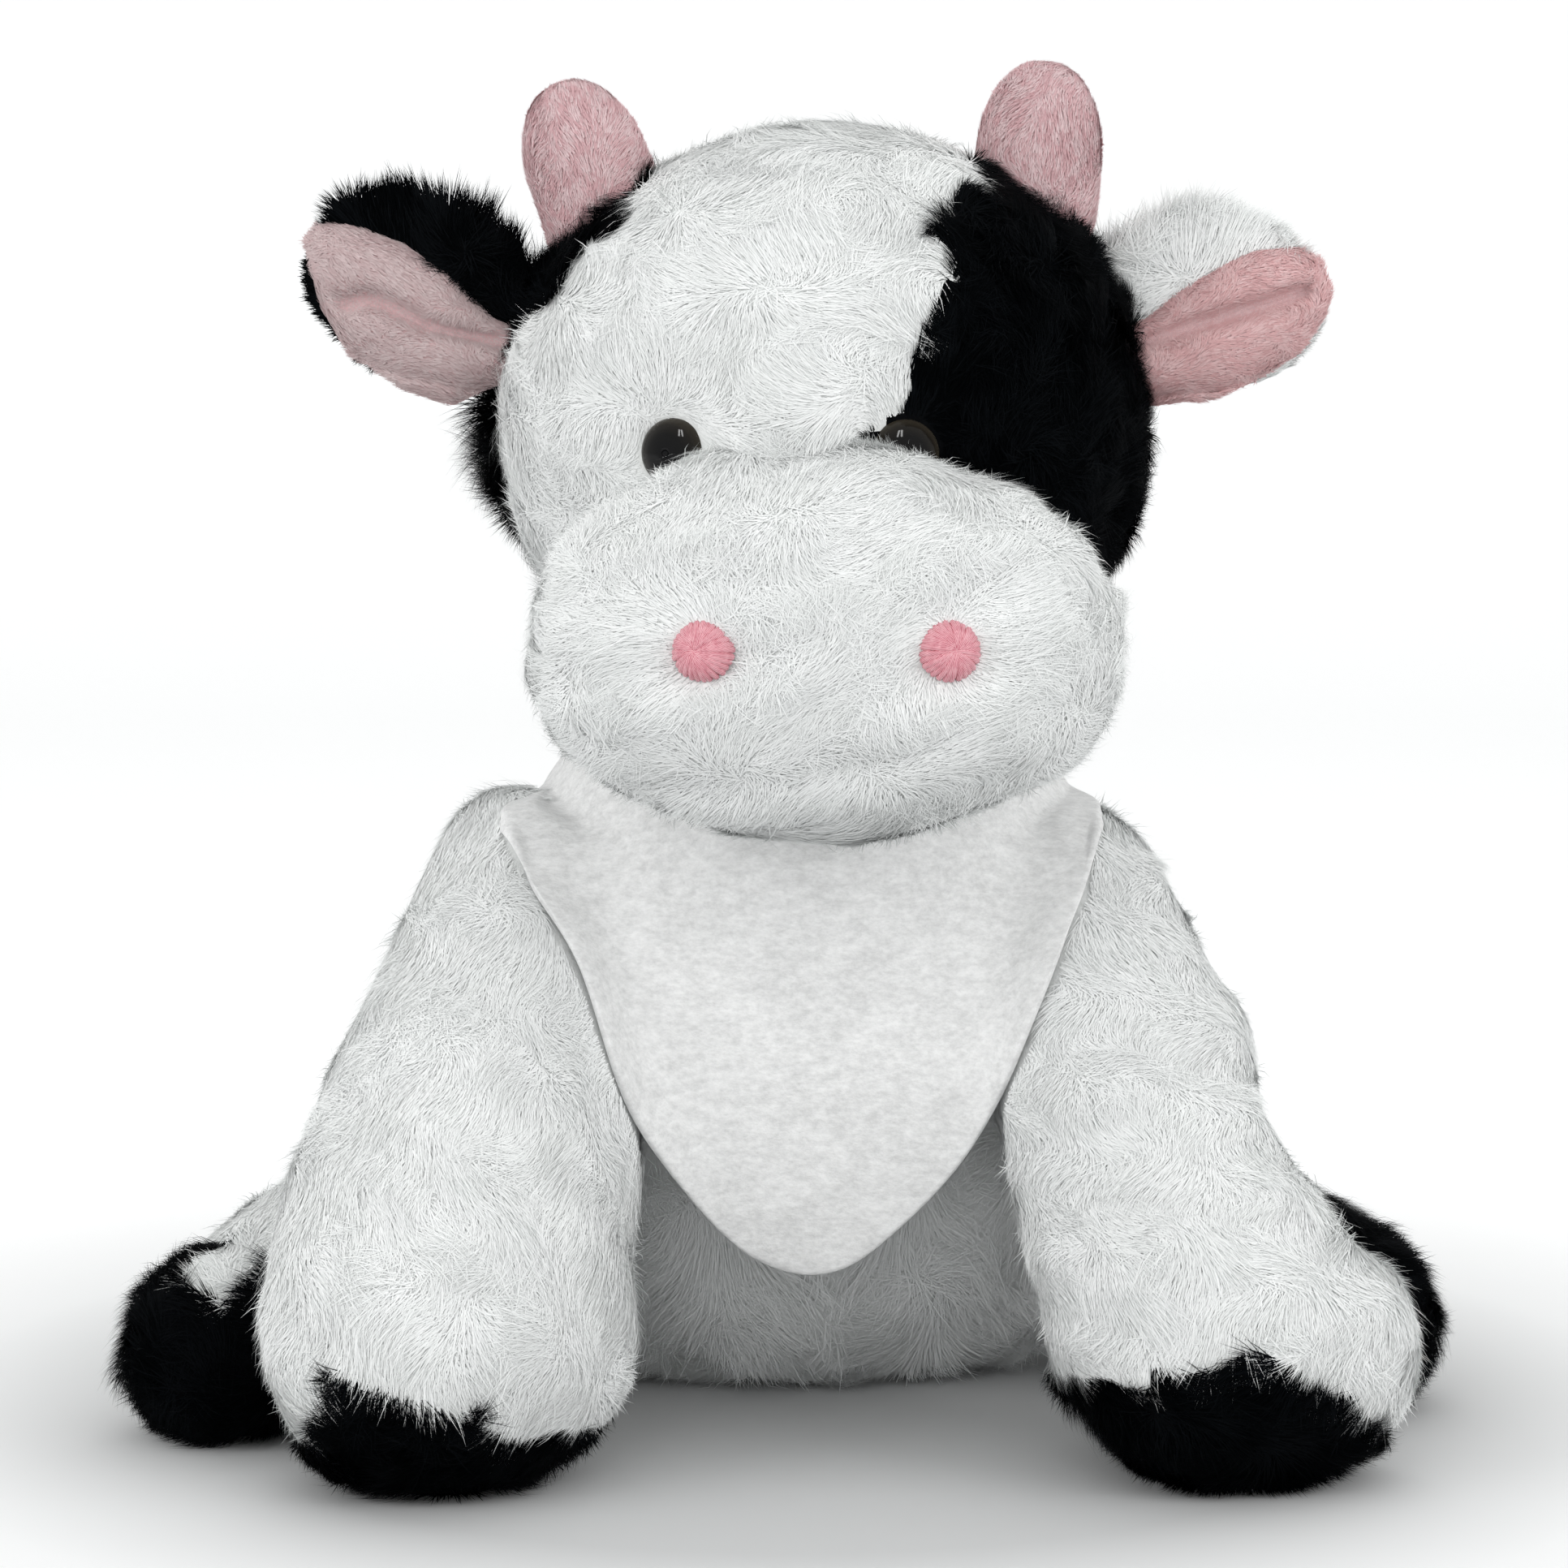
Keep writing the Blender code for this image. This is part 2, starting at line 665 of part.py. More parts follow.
def build_nostril(side, muzzle, carrier):
    across = -NOSTRIL_X if side == "left" else NOSTRIL_X
    place, facing = touch(muzzle, (across, -BLOCK, MUZZLE_Z + NOSTRIL_RISE), (0, 1, 0))
    frame = frame_along(place, facing, (0, 0, 1))
    arc = [math.pi / 2 * step / 3 for step in range(4)]
    rise = NOSTRIL_DOME
    profile = [(math.sin(a) * NOSTRIL_RADIUS, math.cos(a) * rise) for a in arc]
    profile += [(NOSTRIL_RADIUS, -NOSTRIL_SEAT), (0, -NOSTRIL_SEAT)]
    hole = NOSTRIL_RADIUS + GAP
    depth = -NOSTRIL_SEAT - GAP
    pocket = [(0, PILE), (hole, PILE), (hole, depth), (0, depth)]
    piece(turned(f"nostril_{side}_disc", profile, frame), f"nostril_{side}", STITCH, carrier)
    return turned(f"nostril_{side}_pocket", pocket, frame)


def build_head(carrier):
    """The head with its muzzle, eyes, nostrils, ears and horns."""
    skull = skull_form("head_shape")
    muzzle_shape = muzzle_form("muzzle_shape")
    sockets = [socket("head_neck_socket", NECK_RADIUS, neck_place)]
    for side in ("left", "right"):
        sockets.append(build_ear(side, carrier))
        sockets.append(build_horn(side, carrier))
    eyes = [build_eye(side, skull, carrier) for side in ("left", "right")]
    nostrils = [build_nostril(side, muzzle_shape, carrier) for side in ("left", "right")]
    pockets = [pocket for pocket, _ in eyes]
    rooms = [room for _, room in eyes]

    skin = skull_form("head_outer")
    cut(skin, skull_form("head_hollow", PILE), *sockets, *pockets)
    piece(skin, "head_skin", WHITE_PILE, carrier)
    filling = skull_form("head_core", PILE + GAP)
    cut(filling, *sockets, *rooms)
    piece(filling, "head_stuffing", FILLING, carrier)

    behind = skull_form("muzzle_seat", -GAP)
    sleeve = muzzle_form("muzzle_outer")
    cut(sleeve, muzzle_form("muzzle_hollow", PILE), behind, *pockets, *nostrils)
    piece(sleeve, "muzzle_skin", WHITE_PILE, carrier)
    filling = muzzle_form("muzzle_core", PILE + GAP)
    cut(filling, behind, *pockets)
    piece(filling, "muzzle_stuffing", FILLING, carrier)


def build_collar(body, carrier):
    """The band of the bib, a tilted open cone that rests on the body."""
    band = bmesh.new()
    bmesh.ops.create_cone(band, cap_ends=False, segments=COLLAR_SIDES, radius1=1, radius2=1, depth=1)
    for point in band.verts:
        upper = point.co.z > 0
        width = COLLAR_TOP_WIDTH if upper else COLLAR_BOTTOM_WIDTH
        depth = COLLAR_TOP_DEPTH if upper else COLLAR_BOTTOM_DEPTH
        point.co = (point.co.x * width / 2, point.co.y * depth / 2, point.co.z * COLLAR_HEIGHT)
    tilt = Matrix.Rotation(COLLAR_TILT, 4, "X")
    frame = Matrix.Translation((COLLAR_X, COLLAR_Y, COLLAR_Z)) @ tilt
    collar = helper("collar_band", to_mesh("collar_band", band), frame)
    cloth = collar.modifiers.new("Cloth", "SOLIDIFY")
    cloth.thickness = FELT
    cloth.offset = 0
    cut(collar, *body)
    piece(collar, "bandana_collar", FELT_CLOTH, carrier)
    rim = Vector((0, -COLLAR_BOTTOM_DEPTH / 2, -COLLAR_HEIGHT / 2))
    return frame @ rim


def build_flap(rim):
    """The pointed flap, hanging from the collar's front rim with soft upright folds."""
    hinge = rim + Vector((FLAP_X, -FELT - GAP, FELT))
    holder = joint("bandana_flap_joint", hinge, root_joint)
    sheet = bmesh.new()
    rows = len(FLAP_SHARES) - 1
    bmesh.ops.create_grid(sheet, x_segments=FLAP_COLUMNS, y_segments=rows, size=1)
    for point in sheet.verts:
        down, wide = FLAP_SHARES[round((1 - point.co.y) / 2 * rows)]
        fold = FLAP_FOLD * math.cos(point.co.x * math.pi * FLAP_WAVES) * down
        forward = -FLAP_FORWARD * math.sin(min(1, down * FLAP_LEAN_SHARE) * math.pi / 2)
        across = point.co.x * wide * FLAP_WIDTH / 2
        point.co = (across, forward + fold, -down * FLAP_HEIGHT)
    flap = helper("flap_sheet", to_mesh("flap_sheet", sheet), Matrix.Translation(hinge))
    cloth = flap.modifiers.new("Cloth", "SOLIDIFY")
    cloth.thickness = FELT
    cloth.offset = 0
    piece(flap, "bandana_flap", FELT_CLOTH, holder)


def build_label(body, carrier):
    place, facing = touch(body, (LABEL_X, -BLOCK, LABEL_Z), (0, 1, 0))
    tape = bmesh.new()
    bmesh.ops.create_cube(tape, size=1)
    middle = place + facing * (GAP + LABEL_THICKNESS / 2)
    frame = frame_along(middle, facing, (0, 0, 1))
    size = Matrix.Diagonal((LABEL_HEIGHT, LABEL_WIDTH, LABEL_THICKNESS, 1))
    tape.transform(size)
    piece(helper("label_tape", to_mesh("label_tape", tape), frame), "care_label", TAPE, carrier)


def build_body():
    """The seated body, the limbs that it carries, its bib and its label."""
    sockets = [socket("body_neck_socket", NECK_RADIUS, neck_place), build_tail()]
    for side in ("left", "right"):
        sockets.append(build_front_leg(side))
        sockets.append(build_hind_leg(side))
    skin = body_form("body_outer")
    cut(skin, body_form("body_hollow", PILE), *sockets, floor)
    piece(skin, "body_skin", WHITE_PILE, root_joint)
    filling = body_form("body_core", PILE + GAP)
    under = beyond("under_filling", (0, 0, PELLET_BAG_TOP), (0, 0, -1))
    cut(filling, under, *sockets)
    piece(filling, "body_stuffing", FILLING, root_joint)
    bag = body_form("pellet_core", PILE + GAP)
    cut(bag, beyond("over_bag", (0, 0, PELLET_BAG_TOP - GAP), (0, 0, 1)), *sockets)
    piece(bag, "pellet_bag", PELLETS, root_joint)

    shoulders = [
        socket(f"collar_{side}_shoulder", SHOULDER_RADIUS, FRONT_PLACES[side][0])
        for side in ("left", "right")
    ]
    around = body_form("collar_seat", -GAP)
    rim = build_collar([around, *shoulders], root_joint)
    build_flap(rim)
    build_label(body_form("label_seat"), root_joint)


def centre_on_floor():
    """Moves the toy so that the middle of its underside box is the origin."""
    bpy.context.view_layer.update()
    points = [point for item in parts.objects if item.type == "MESH" for point in world_points(item)]
    low = Vector(min(point[axis] for point in points) for axis in range(3))
    high = Vector(max(point[axis] for point in points) for axis in range(3))
    root.location = (-(low.x + high.x) / 2, -(low.y + high.y) / 2, -low.z)


clear_scene()
parts = collection("plush_cow")
cutters = collection("cutters", helper=True)
root = bpy.data.objects.new("cow_root", None)
parts.objects.link(root)
root_joint = joint("body_joint", (0, 0, 0), root)
neck_place = Vector((0, NECK_Y, NECK_Z))
floor = beyond("floor", (0, 0, 0), (0, 0, -1))

body_drop = 0.0
body_probe = body_form("body_probe")
bpy.context.view_layer.update()
body_drop = -FLOOR_FLAT - min(point.z for point in world_points(body_probe))
bpy.data.objects.remove(body_probe)
build_body()
neck = joint("neck_joint", neck_place, root_joint)
piece(ball("neck_ball", NECK_RADIUS, neck_place), "neck_plug", FILLING, neck)
build_head(joint("head_joint", neck_place, neck))
centre_on_floor()
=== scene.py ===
"""The looks of a sitting plush cow.

Each stuffed form gets a padded skin with long pile on it, in white or black. The horns and the
ear linings have short pink pile, the nostrils are satin stitch, the eyes are glossy buttons, and
a plain mottled fleece bib hangs from the neck. Left and right are as seen from the front.
"""

import json
import math

import bpy
import numpy as np
from mathutils import Matrix, Vector
from mathutils.bvhtree import BVHTree
from mathutils.kdtree import KDTree


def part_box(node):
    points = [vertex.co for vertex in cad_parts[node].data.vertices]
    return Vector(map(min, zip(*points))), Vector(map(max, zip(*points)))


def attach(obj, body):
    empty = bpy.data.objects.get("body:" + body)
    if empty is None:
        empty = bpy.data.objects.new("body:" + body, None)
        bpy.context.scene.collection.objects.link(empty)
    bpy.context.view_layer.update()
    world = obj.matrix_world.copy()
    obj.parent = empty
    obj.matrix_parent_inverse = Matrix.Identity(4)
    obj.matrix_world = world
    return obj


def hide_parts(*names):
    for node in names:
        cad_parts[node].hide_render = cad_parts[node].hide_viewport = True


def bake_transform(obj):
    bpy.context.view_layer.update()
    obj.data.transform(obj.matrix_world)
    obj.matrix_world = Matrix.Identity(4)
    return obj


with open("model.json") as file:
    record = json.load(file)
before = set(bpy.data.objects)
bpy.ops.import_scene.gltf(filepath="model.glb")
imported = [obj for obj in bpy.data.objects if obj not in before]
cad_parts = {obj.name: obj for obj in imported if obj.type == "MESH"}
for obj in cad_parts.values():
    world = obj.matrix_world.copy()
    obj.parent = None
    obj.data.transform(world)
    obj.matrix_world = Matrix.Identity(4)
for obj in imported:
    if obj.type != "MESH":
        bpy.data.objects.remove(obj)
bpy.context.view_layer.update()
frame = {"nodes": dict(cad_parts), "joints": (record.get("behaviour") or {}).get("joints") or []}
MM = 0.001
JOINTS = {joint["child"]: np.array(joint["pos_m"]) for joint in frame["joints"]}
NECK = JOINTS["neck"]
SIDES = {"left": -1, "right": 1}


def spot(x, y, z):
    """A place given in millimetres right of, behind and above the floor under the neck's joint."""
    return np.array([NECK[0] + x * MM, NECK[1] + y * MM, z * MM])


EYES = {"left": spot(-25.7, -60.2, 177.5), "right": spot(13.5, -64.5, 177.5)}
NOSTRILS = {"left": spot(-20.6, -96.6, 147), "right": spot(20.6, -96.6, 147)}


# Materials


class Wire:
    """One output of a material's nodes, so that its maths reads as plain sums and products."""

    def __init__(self, recipe, socket):
        self.recipe = recipe
        self.socket = socket

    def maths(self, operation, first, second):
        return self.recipe.node("ShaderNodeMath", {"operation": operation}, {0: first, 1: second})

    def __add__(self, other):
        return self.maths("ADD", self, other)

    def __mul__(self, other):
        return self.maths("MULTIPLY", self, other)

    __radd__ = __add__
    __rmul__ = __mul__


class Recipe:
    """A material in the making, whose last step is its Principled shader."""

    def __init__(self, name, roughness=0.9, specular=0.3, **plain):
        self.material = bpy.data.materials.new(name)
        self.material.use_nodes = True
        self.tree = self.material.node_tree
        self.shader = self.tree.nodes["Principled BSDF"]
        self.finish(roughness=roughness, specular_ior_level=specular, **plain)

    def feed(self, node, values):
        for key, value in values.items():
            if isinstance(value, Wire):
                self.tree.links.new(value.socket, node.inputs[key])
            else:
                node.inputs[key].default_value = value

    def node(self, kind, settings=None, values=None, output=0):
        made = self.tree.nodes.new(kind)
        for key, value in (settings or {}).items():
            if key == "stops":
                self.set_stops(made.color_ramp, value)
            else:
                setattr(made, key, value)
        self.feed(made, values or {})
        return Wire(self, made.outputs[output])

    def set_stops(self, ramp, stops):
        while len(ramp.elements) < len(stops):
            ramp.elements.new(1)
        for element, (place, colour) in zip(ramp.elements, stops):
            element.position = place
            element.color = (*colour, 1)

    def finish(self, **values):
        """Sets or links sockets of the Principled shader by their names in small letters."""
        named = {socket.name.lower().replace(" ", "_"): socket.name for socket in self.shader.inputs}
        for key, value in values.items():
            if key.endswith(("colour", "tint")) and not isinstance(value, Wire):
                value = (*value, 1)
            self.feed(self.shader, {named[key.replace("colour", "color")]: value})
        return self

    def place(self):
        return self.node("ShaderNodeTexCoord", output=3)

    def noise(self, scale, detail=2.0, roughness=0.5, vector=None):
        values = {"Vector": vector or self.place(), "Scale": scale, "Detail": detail, "Roughness": roughness}
        return self.node("ShaderNodeTexNoise", None, values)

    def ramp(self, factor, *stops):
        return self.node("ShaderNodeValToRGB", {"stops": stops}, {0: factor})

    def bump(self, height, distance, strength=1.0):
        values = {"Height": height, "Distance": distance, "Strength": strength}
        return self.node("ShaderNodeBump", None, values)


def grey(level):
    return (level, level, level)


def pile_fibre(name, colour, specular=0.1, roughness=0.9):
    """The plain finish of one shade of fibre. The pile's pattern is in its strands."""
    return Recipe(name, roughness, specular, base_colour=colour).material


def pile_backing(name, low, high):
    """The dense undercoat that shows between the strands, mottled and finely pitted."""
    made = Recipe(name, 1.0, 0.05)
    tufts = made.noise(900.0, 3.0, 0.6)
    drift = made.noise(60.0, 2.0)
    shade = made.ramp(tufts * 0.6 + drift * 0.4, (0.35, low), (0.65, high))
    return made.finish(base_colour=shade, normal=made.bump(tufts, 0.0003, 0.5)).material


def fleece_cloth():
    """Brushed light grey marl: a short nap whose pale fibres lie across slightly darker ones."""
    made = Recipe("fleece_marl", 1.0, 0.05, sheen_weight=0.12, sheen_roughness=0.6)
    across = made.node("ShaderNodeMapping", None, {"Vector": made.place(), "Scale": (0.55, 1.0, 1.0)})
    flecks = made.noise(1400.0, 3.0, 0.75, across)
    clouds = made.noise(520.0, 3.0, 0.65, across)
    drift = made.noise(60.0, 2.0, 0.5)
    mix = flecks * 0.40 + clouds * 0.45 + drift * 0.15
    shade = made.ramp(mix, (0.38, grey(0.67)), (0.50, grey(0.785)), (0.62, grey(0.89)))
    nap = made.bump(flecks * 0.5 + clouds, 0.0004, 0.6)
    return made.finish(base_colour=shade, normal=nap).material


def satin_thread():
    """Shiny embroidery thread: strands that twist round each other along its length, coloured with painted
    shade in the gaps of the twist and painted highlights on the strands.
    """
    made = Recipe("satin_thread", 0.5, 0.35, sheen_weight=0.25, sheen_roughness=0.4)
    strands = made.node("ShaderNodeUVMap", {"uv_map": "along_thread"})
    shape = {"Vector": strands, "Scale": 3.2, "Distortion": 1.5, "Detail": 2.0}
    twist = made.node("ShaderNodeTexWave", {"bands_direction": "DIAGONAL"}, shape, output=1)
    drift = made.noise(700.0, 2.0)
    # deep is painted shade in the twist's gaps and pale is a painted highlight on the strands; rose is the
    # thread's own pink, and the drift is random tone.
    deep, rose, pale = (0.55, 0.13, 0.18), (0.82, 0.33, 0.39), (0.97, 0.60, 0.64)
    shade = made.ramp(twist * 0.55 + drift * 0.45, (0.2, deep), (0.5, rose), (0.8, pale))
    return made.finish(base_colour=shade, normal=made.bump(twist, 0.0001, 0.6)).material


def button_plastic():
    """Polished near black plastic that turns brown towards the edge."""
    made = Recipe("button_plastic", 0.04, 0.17)
    across = made.node("ShaderNodeUVMap", {"uv_map": "across_button"})
    ring = made.node("ShaderNodeSeparateXYZ", None, {0: across}, output=1)
    middle, inner = (0.003, 0.003, 0.004), (0.004, 0.0038, 0.004)
    outer, edge = (0.012, 0.010, 0.008), (0.045, 0.038, 0.028)
    shade = made.ramp(ring, (0.0, middle), (0.55, inner), (0.80, outer), (1.0, edge))
    return made.finish(base_colour=shade).material


def woven_tape():
    """The blank label's fine off-white weave."""
    made = Recipe("woven_tape", 0.7, 0.2)
    place = made.place()

    def threads(way, scale):
        values = {"Vector": place, "Scale": scale}
        return made.node("ShaderNodeTexWave", {"bands_direction": way}, values, output=1)

    weave = threads("X", 900.0) * 0.5 + threads("Z", 700.0) * 0.5
    shade = made.ramp(weave, (0.2, (0.74, 0.74, 0.72)), (0.8, (0.88, 0.88, 0.86)))
    return made.finish(base_colour=shade, normal=made.bump(weave, 0.0001)).material


def pink_fibres(label, rose, pale):
    return pile_fibre(f"{label}_pile_rose", rose), pile_fibre(f"{label}_pile_pale", pale)


WHITE_TONES = (
    pile_fibre("white_pile_pale", (0.930, 0.940, 0.938)),
    pile_fibre("white_pile_mid", (0.917, 0.929, 0.925)),
    pile_fibre("white_pile_soft", (0.902, 0.915, 0.909)),
)
BLACK_TONES = (
    pile_fibre("black_pile_deep", (0.0012, 0.0016, 0.0020), 0.015, 0.8),
    pile_fibre("black_pile_soft", (0.0026, 0.0034, 0.0044), 0.03, 0.65),
)
PINK_TONES = pink_fibres("pink", (0.680, 0.435, 0.455), (0.760, 0.580, 0.592))
# The left lining's pinks are the lining's pink made darker and duller: painted shade for the shadow that the
# left ear's lining lies in.
LINING_TONES = {
    "left": pink_fibres("shaded_pink", (0.615, 0.470, 0.473), (0.665, 0.540, 0.540)),
    "right": pink_fibres("blush", (0.735, 0.455, 0.460), (0.790, 0.550, 0.552)),
}
WHITE_BACKING = pile_backing("white_backing", (0.80, 0.815, 0.805), (0.91, 0.92, 0.915))
BLACK_BACKING = pile_backing("black_backing", (0.0012, 0.0014, 0.0018), (0.0036, 0.0040, 0.0048))
PINK_BACKING = pile_backing("pink_backing", (0.68, 0.44, 0.45), (0.74, 0.53, 0.54))
FLEECE = fleece_cloth()
THREAD = satin_thread()
PLASTIC = button_plastic()
TAPE = woven_tape()


# Skins


def placed(name, data):
    """A new object in the scene."""
    made = bpy.data.objects.new(name, data)
    bpy.context.scene.collection.objects.link(made)
    return made


def meshed(name, points, edges, faces):
    """A new object with a mesh of its own."""
    mesh = bpy.data.meshes.new(name)
    mesh.from_pydata(points, edges, faces)
    return placed(name, mesh)


def grid_faces(rows, columns, closed):
    """The faces between rows of points. Closed rows run round."""
    faces = []
    for row in range(rows - 1):
        here, above = row * columns, (row + 1) * columns
        for column in range(columns if closed else columns - 1):
            after = (column + 1) % columns
            faces.append((here + column, here + after, above + after, above + column))
    return faces


def only(item):
    """Selects one object and nothing else."""
    bpy.ops.object.select_all(action="DESELECT")
    item.select_set(True)
    bpy.context.view_layer.objects.active = item


def smooth(item):
    """Shades one object smoothly."""
    only(item)
    bpy.ops.object.shade_smooth()


def joined(items, name):
    """Joins some objects into the first of them."""
    only(items[0])
    for item in items:
        item.select_set(True)
    if len(items) > 1:
        bpy.ops.object.join()
    items[0].name = name
    return items[0]


def edit(item):
    """Opens one object for editing with all of it selected."""
    only(item)
    bpy.ops.object.mode_set(mode="EDIT")
    bpy.ops.mesh.select_mode(type="VERT")
    bpy.ops.mesh.select_all(action="SELECT")


def close_edit():
    bpy.ops.object.mode_set(mode="OBJECT")


def keep(item, kind, **settings):
    """Adds a modifier and applies it."""
    only(item)
    made = item.modifiers.new(kind.title(), kind)
    for key, value in settings.items():
        setattr(made, key, value)
    bpy.ops.object.modifier_apply(modifier=made.name)


def copied(name, nodes):
    """One new object with the shapes of some CAD nodes."""
    copies = []
    for node in nodes:
        source = frame["nodes"][node]
        made = source.copy()
        made.data = source.data.copy()
        made.parent = None
        for key in list(made.keys()):
            del made[key]
        bpy.context.scene.collection.objects.link(made)
        copies.append(made)
    made = joined(copies, name)
    made.data.name = name
    made.data.materials.clear()
    return made


def stuffed(name, nodes, body, voxel, grow=-0.0008, backing=WHITE_BACKING,
            also=()):
    """A padded skin: the nodes wrapped in one taut form, remeshed evenly and rounded off."""
    form = copied(name, nodes)
    edit(form)
    bpy.ops.mesh.remove_doubles(threshold=0.00001)
    bpy.ops.mesh.convex_hull()
    close_edit()
    keep(form, "REMESH", mode="VOXEL", voxel_size=voxel)
    keep(form, "SMOOTH", factor=0.5, iterations=6)
    if grow:
        keep(form, "DISPLACE", strength=grow, mid_level=0.0)
    smooth(form)
    form.data.materials.append(backing)
    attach(form, body)
    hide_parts(*nodes, *also)
    return form


def surface(form):
    """A form's points and their normals."""
    vertices = form.data.vertices
    points, normals = np.empty(len(vertices) * 3), np.empty(len(vertices) * 3)
    vertices.foreach_get("co", points)
    vertices.foreach_get("normal", normals)
    return points.reshape(-1, 3), normals.reshape(-1, 3)


def moved(form, shift):
    """Moves a form's points by a function of their places and normals."""
    points, normals = surface(form)
    points = points + shift(points, normals)
    form.data.vertices.foreach_set("co", points.ravel())
    form.data.update()


# Pile


def unit(vectors):
    """Each way with a length of one."""
    return vectors / np.maximum(np.linalg.norm(vectors, axis=1, keepdims=True), 1e-12)


def along_surface(ways, normals):
    """The part of each way that runs along the surface, one long."""
    return unit(ways - normals * (ways * normals).sum(1, keepdims=True))


def swirls(points, seed, wave, terms=8):
    """A smooth random way at each point, as tumbled pile lies, the same on each run."""
    source = np.random.default_rng(seed)
    total = np.zeros_like(points)
    for _ in range(terms):
        run = source.normal(size=3)
        run /= np.linalg.norm(run)
        length = wave * source.uniform(0.6, 1.7)
        phase = source.uniform(0, 2 * math.pi, 3)
        strength = source.normal(size=3)
        total += strength * np.sin(2 * math.pi * (points @ run)[:, None] / length + phase)
    return total / math.sqrt(terms)


def scattered(form, per_mm2, source):
    """Random places on a form, evenly by area, with the surface's normals there."""
    mesh = form.data
    mesh.calc_loop_triangles()
    corners = np.empty(len(mesh.loop_triangles) * 3, np.int32)
    mesh.loop_triangles.foreach_get("vertices", corners)
    corners = corners.reshape(-1, 3)
    points, normals = surface(form)
    points, normals = points[corners], normals[corners]
    first_edge, second_edge = points[:, 1] - points[:, 0], points[:, 2] - points[:, 0]
    areas = np.linalg.norm(np.cross(first_edge, second_edge), axis=1) / 2
    count = int(areas.sum() * per_mm2 / MM**2)
    chosen = source.choice(len(areas), count, p=areas / areas.sum())
    first, second = source.uniform(size=(2, count))
    folded = first + second > 1
    first[folded], second[folded] = 1 - first[folded], 1 - second[folded]
    shares = np.stack([1 - first - second, first, second], 1)[:, :, None]
    return (points[chosen] * shares).sum(1), unit((normals[chosen] * shares).sum(1))


def search_tree(form):
    """A tree for finding places on a form, and the lowest and highest corners of the form."""
    places = [point.co for point in form.data.vertices]
    tree = BVHTree.FromPolygons(places, [face.vertices[:] for face in form.data.polygons])
    return tree, np.array(places).min(0), np.array(places).max(0)


def within(points, form, margin=0.0):
    """Which points lie inside a closed form, or nearer to its surface than the margin."""
    tree, low, high = search_tree(form)
    near = np.flatnonzero(((points > low - margin) & (points < high + margin)).all(1))
    found = np.zeros(len(points), bool)
    for index in near:
        place, normal, _, _ = tree.find_nearest(Vector(points[index]))
        found[index] = (Vector(points[index]) - place).dot(normal) < margin
    return found


def nearest(points, centres):
    """The number of the centre that lies nearest to each point."""
    tree = KDTree(len(centres))
    for index, centre in enumerate(centres):
        tree.insert(centre, index)
    tree.balance()
    return np.array([tree.find(point)[1] for point in points])


def strands_mesh(name, groups):
    """Thin tapering ribbons, one for each strand.

    A group holds strands with the same number of points: the rows of points from root to tip,
    each row's widths, the ways across the ribbons, and each row's shading normals.
    """
    places, facings, turns, sizes = [], [], [], []
    used = 0
    for rows, widths, sides, shading in groups:
        steps = len(rows) - 1
        count = len(rows[0])
        rails, normals = [], []
        for step in range(steps):
            half = sides * (widths[step] / 2)[:, None]
            rails += [rows[step] - half, rows[step] + half]
            normals += [shading[step], shading[step]]
        rails.append(rows[steps])
        normals.append(shading[steps])
        per = 2 * steps + 1
        quads = [(2 * step, 2 * step + 1, 2 * step + 3, 2 * step + 2) for step in range(steps - 1)]
        ring = np.array([corner for quad in quads for corner in quad] + [per - 3, per - 2, per - 1])
        places.append(np.stack(rails, 1).reshape(-1, 3))
        facings.append(np.stack(normals, 1).reshape(-1, 3))
        turns.append((used + np.arange(count)[:, None] * per + ring).ravel())
        sizes.append(np.tile([4] * (steps - 1) + [3], count))
        used += count * per
    places, facings, turns, sizes = (np.concatenate(each) for each in (places, facings, turns, sizes))
    mesh = bpy.data.meshes.new(name)
    mesh.vertices.add(len(places))
    mesh.vertices.foreach_set("co", places.ravel())
    mesh.loops.add(len(turns))
    mesh.loops.foreach_set("vertex_index", turns)
    mesh.polygons.add(len(sizes))
    mesh.polygons.foreach_set("loop_start", np.concatenate([[0], np.cumsum(sizes)[:-1]]))
    mesh.polygons.foreach_set("use_smooth", np.ones(len(sizes), bool))
    mesh.update(calc_edges=True)
    mesh.normals_split_custom_set_from_vertices(facings)
    return placed(name, mesh)


# How far strands droop, how far locks and single strands turn from the brushing, how much the
# root and tip halves of standing pile rise, and how much more strays stand up
DROOP = 0.06
LOCK_TURN, STRAND_TURN = 0.26, 0.20
STANDING_LOW, STANDING_HIGH = 0.28, 0.13
STRAY_STANCE = 2.4
# Locks in a square of a lock's size, how far ribbons roll, and how round they are shaded
LOCKS_EACH = 1.25
ROLL = 0.10
ROUND_LOCK = 0.08
ROUNDINGS = (0.08, 0.12, 0.16)


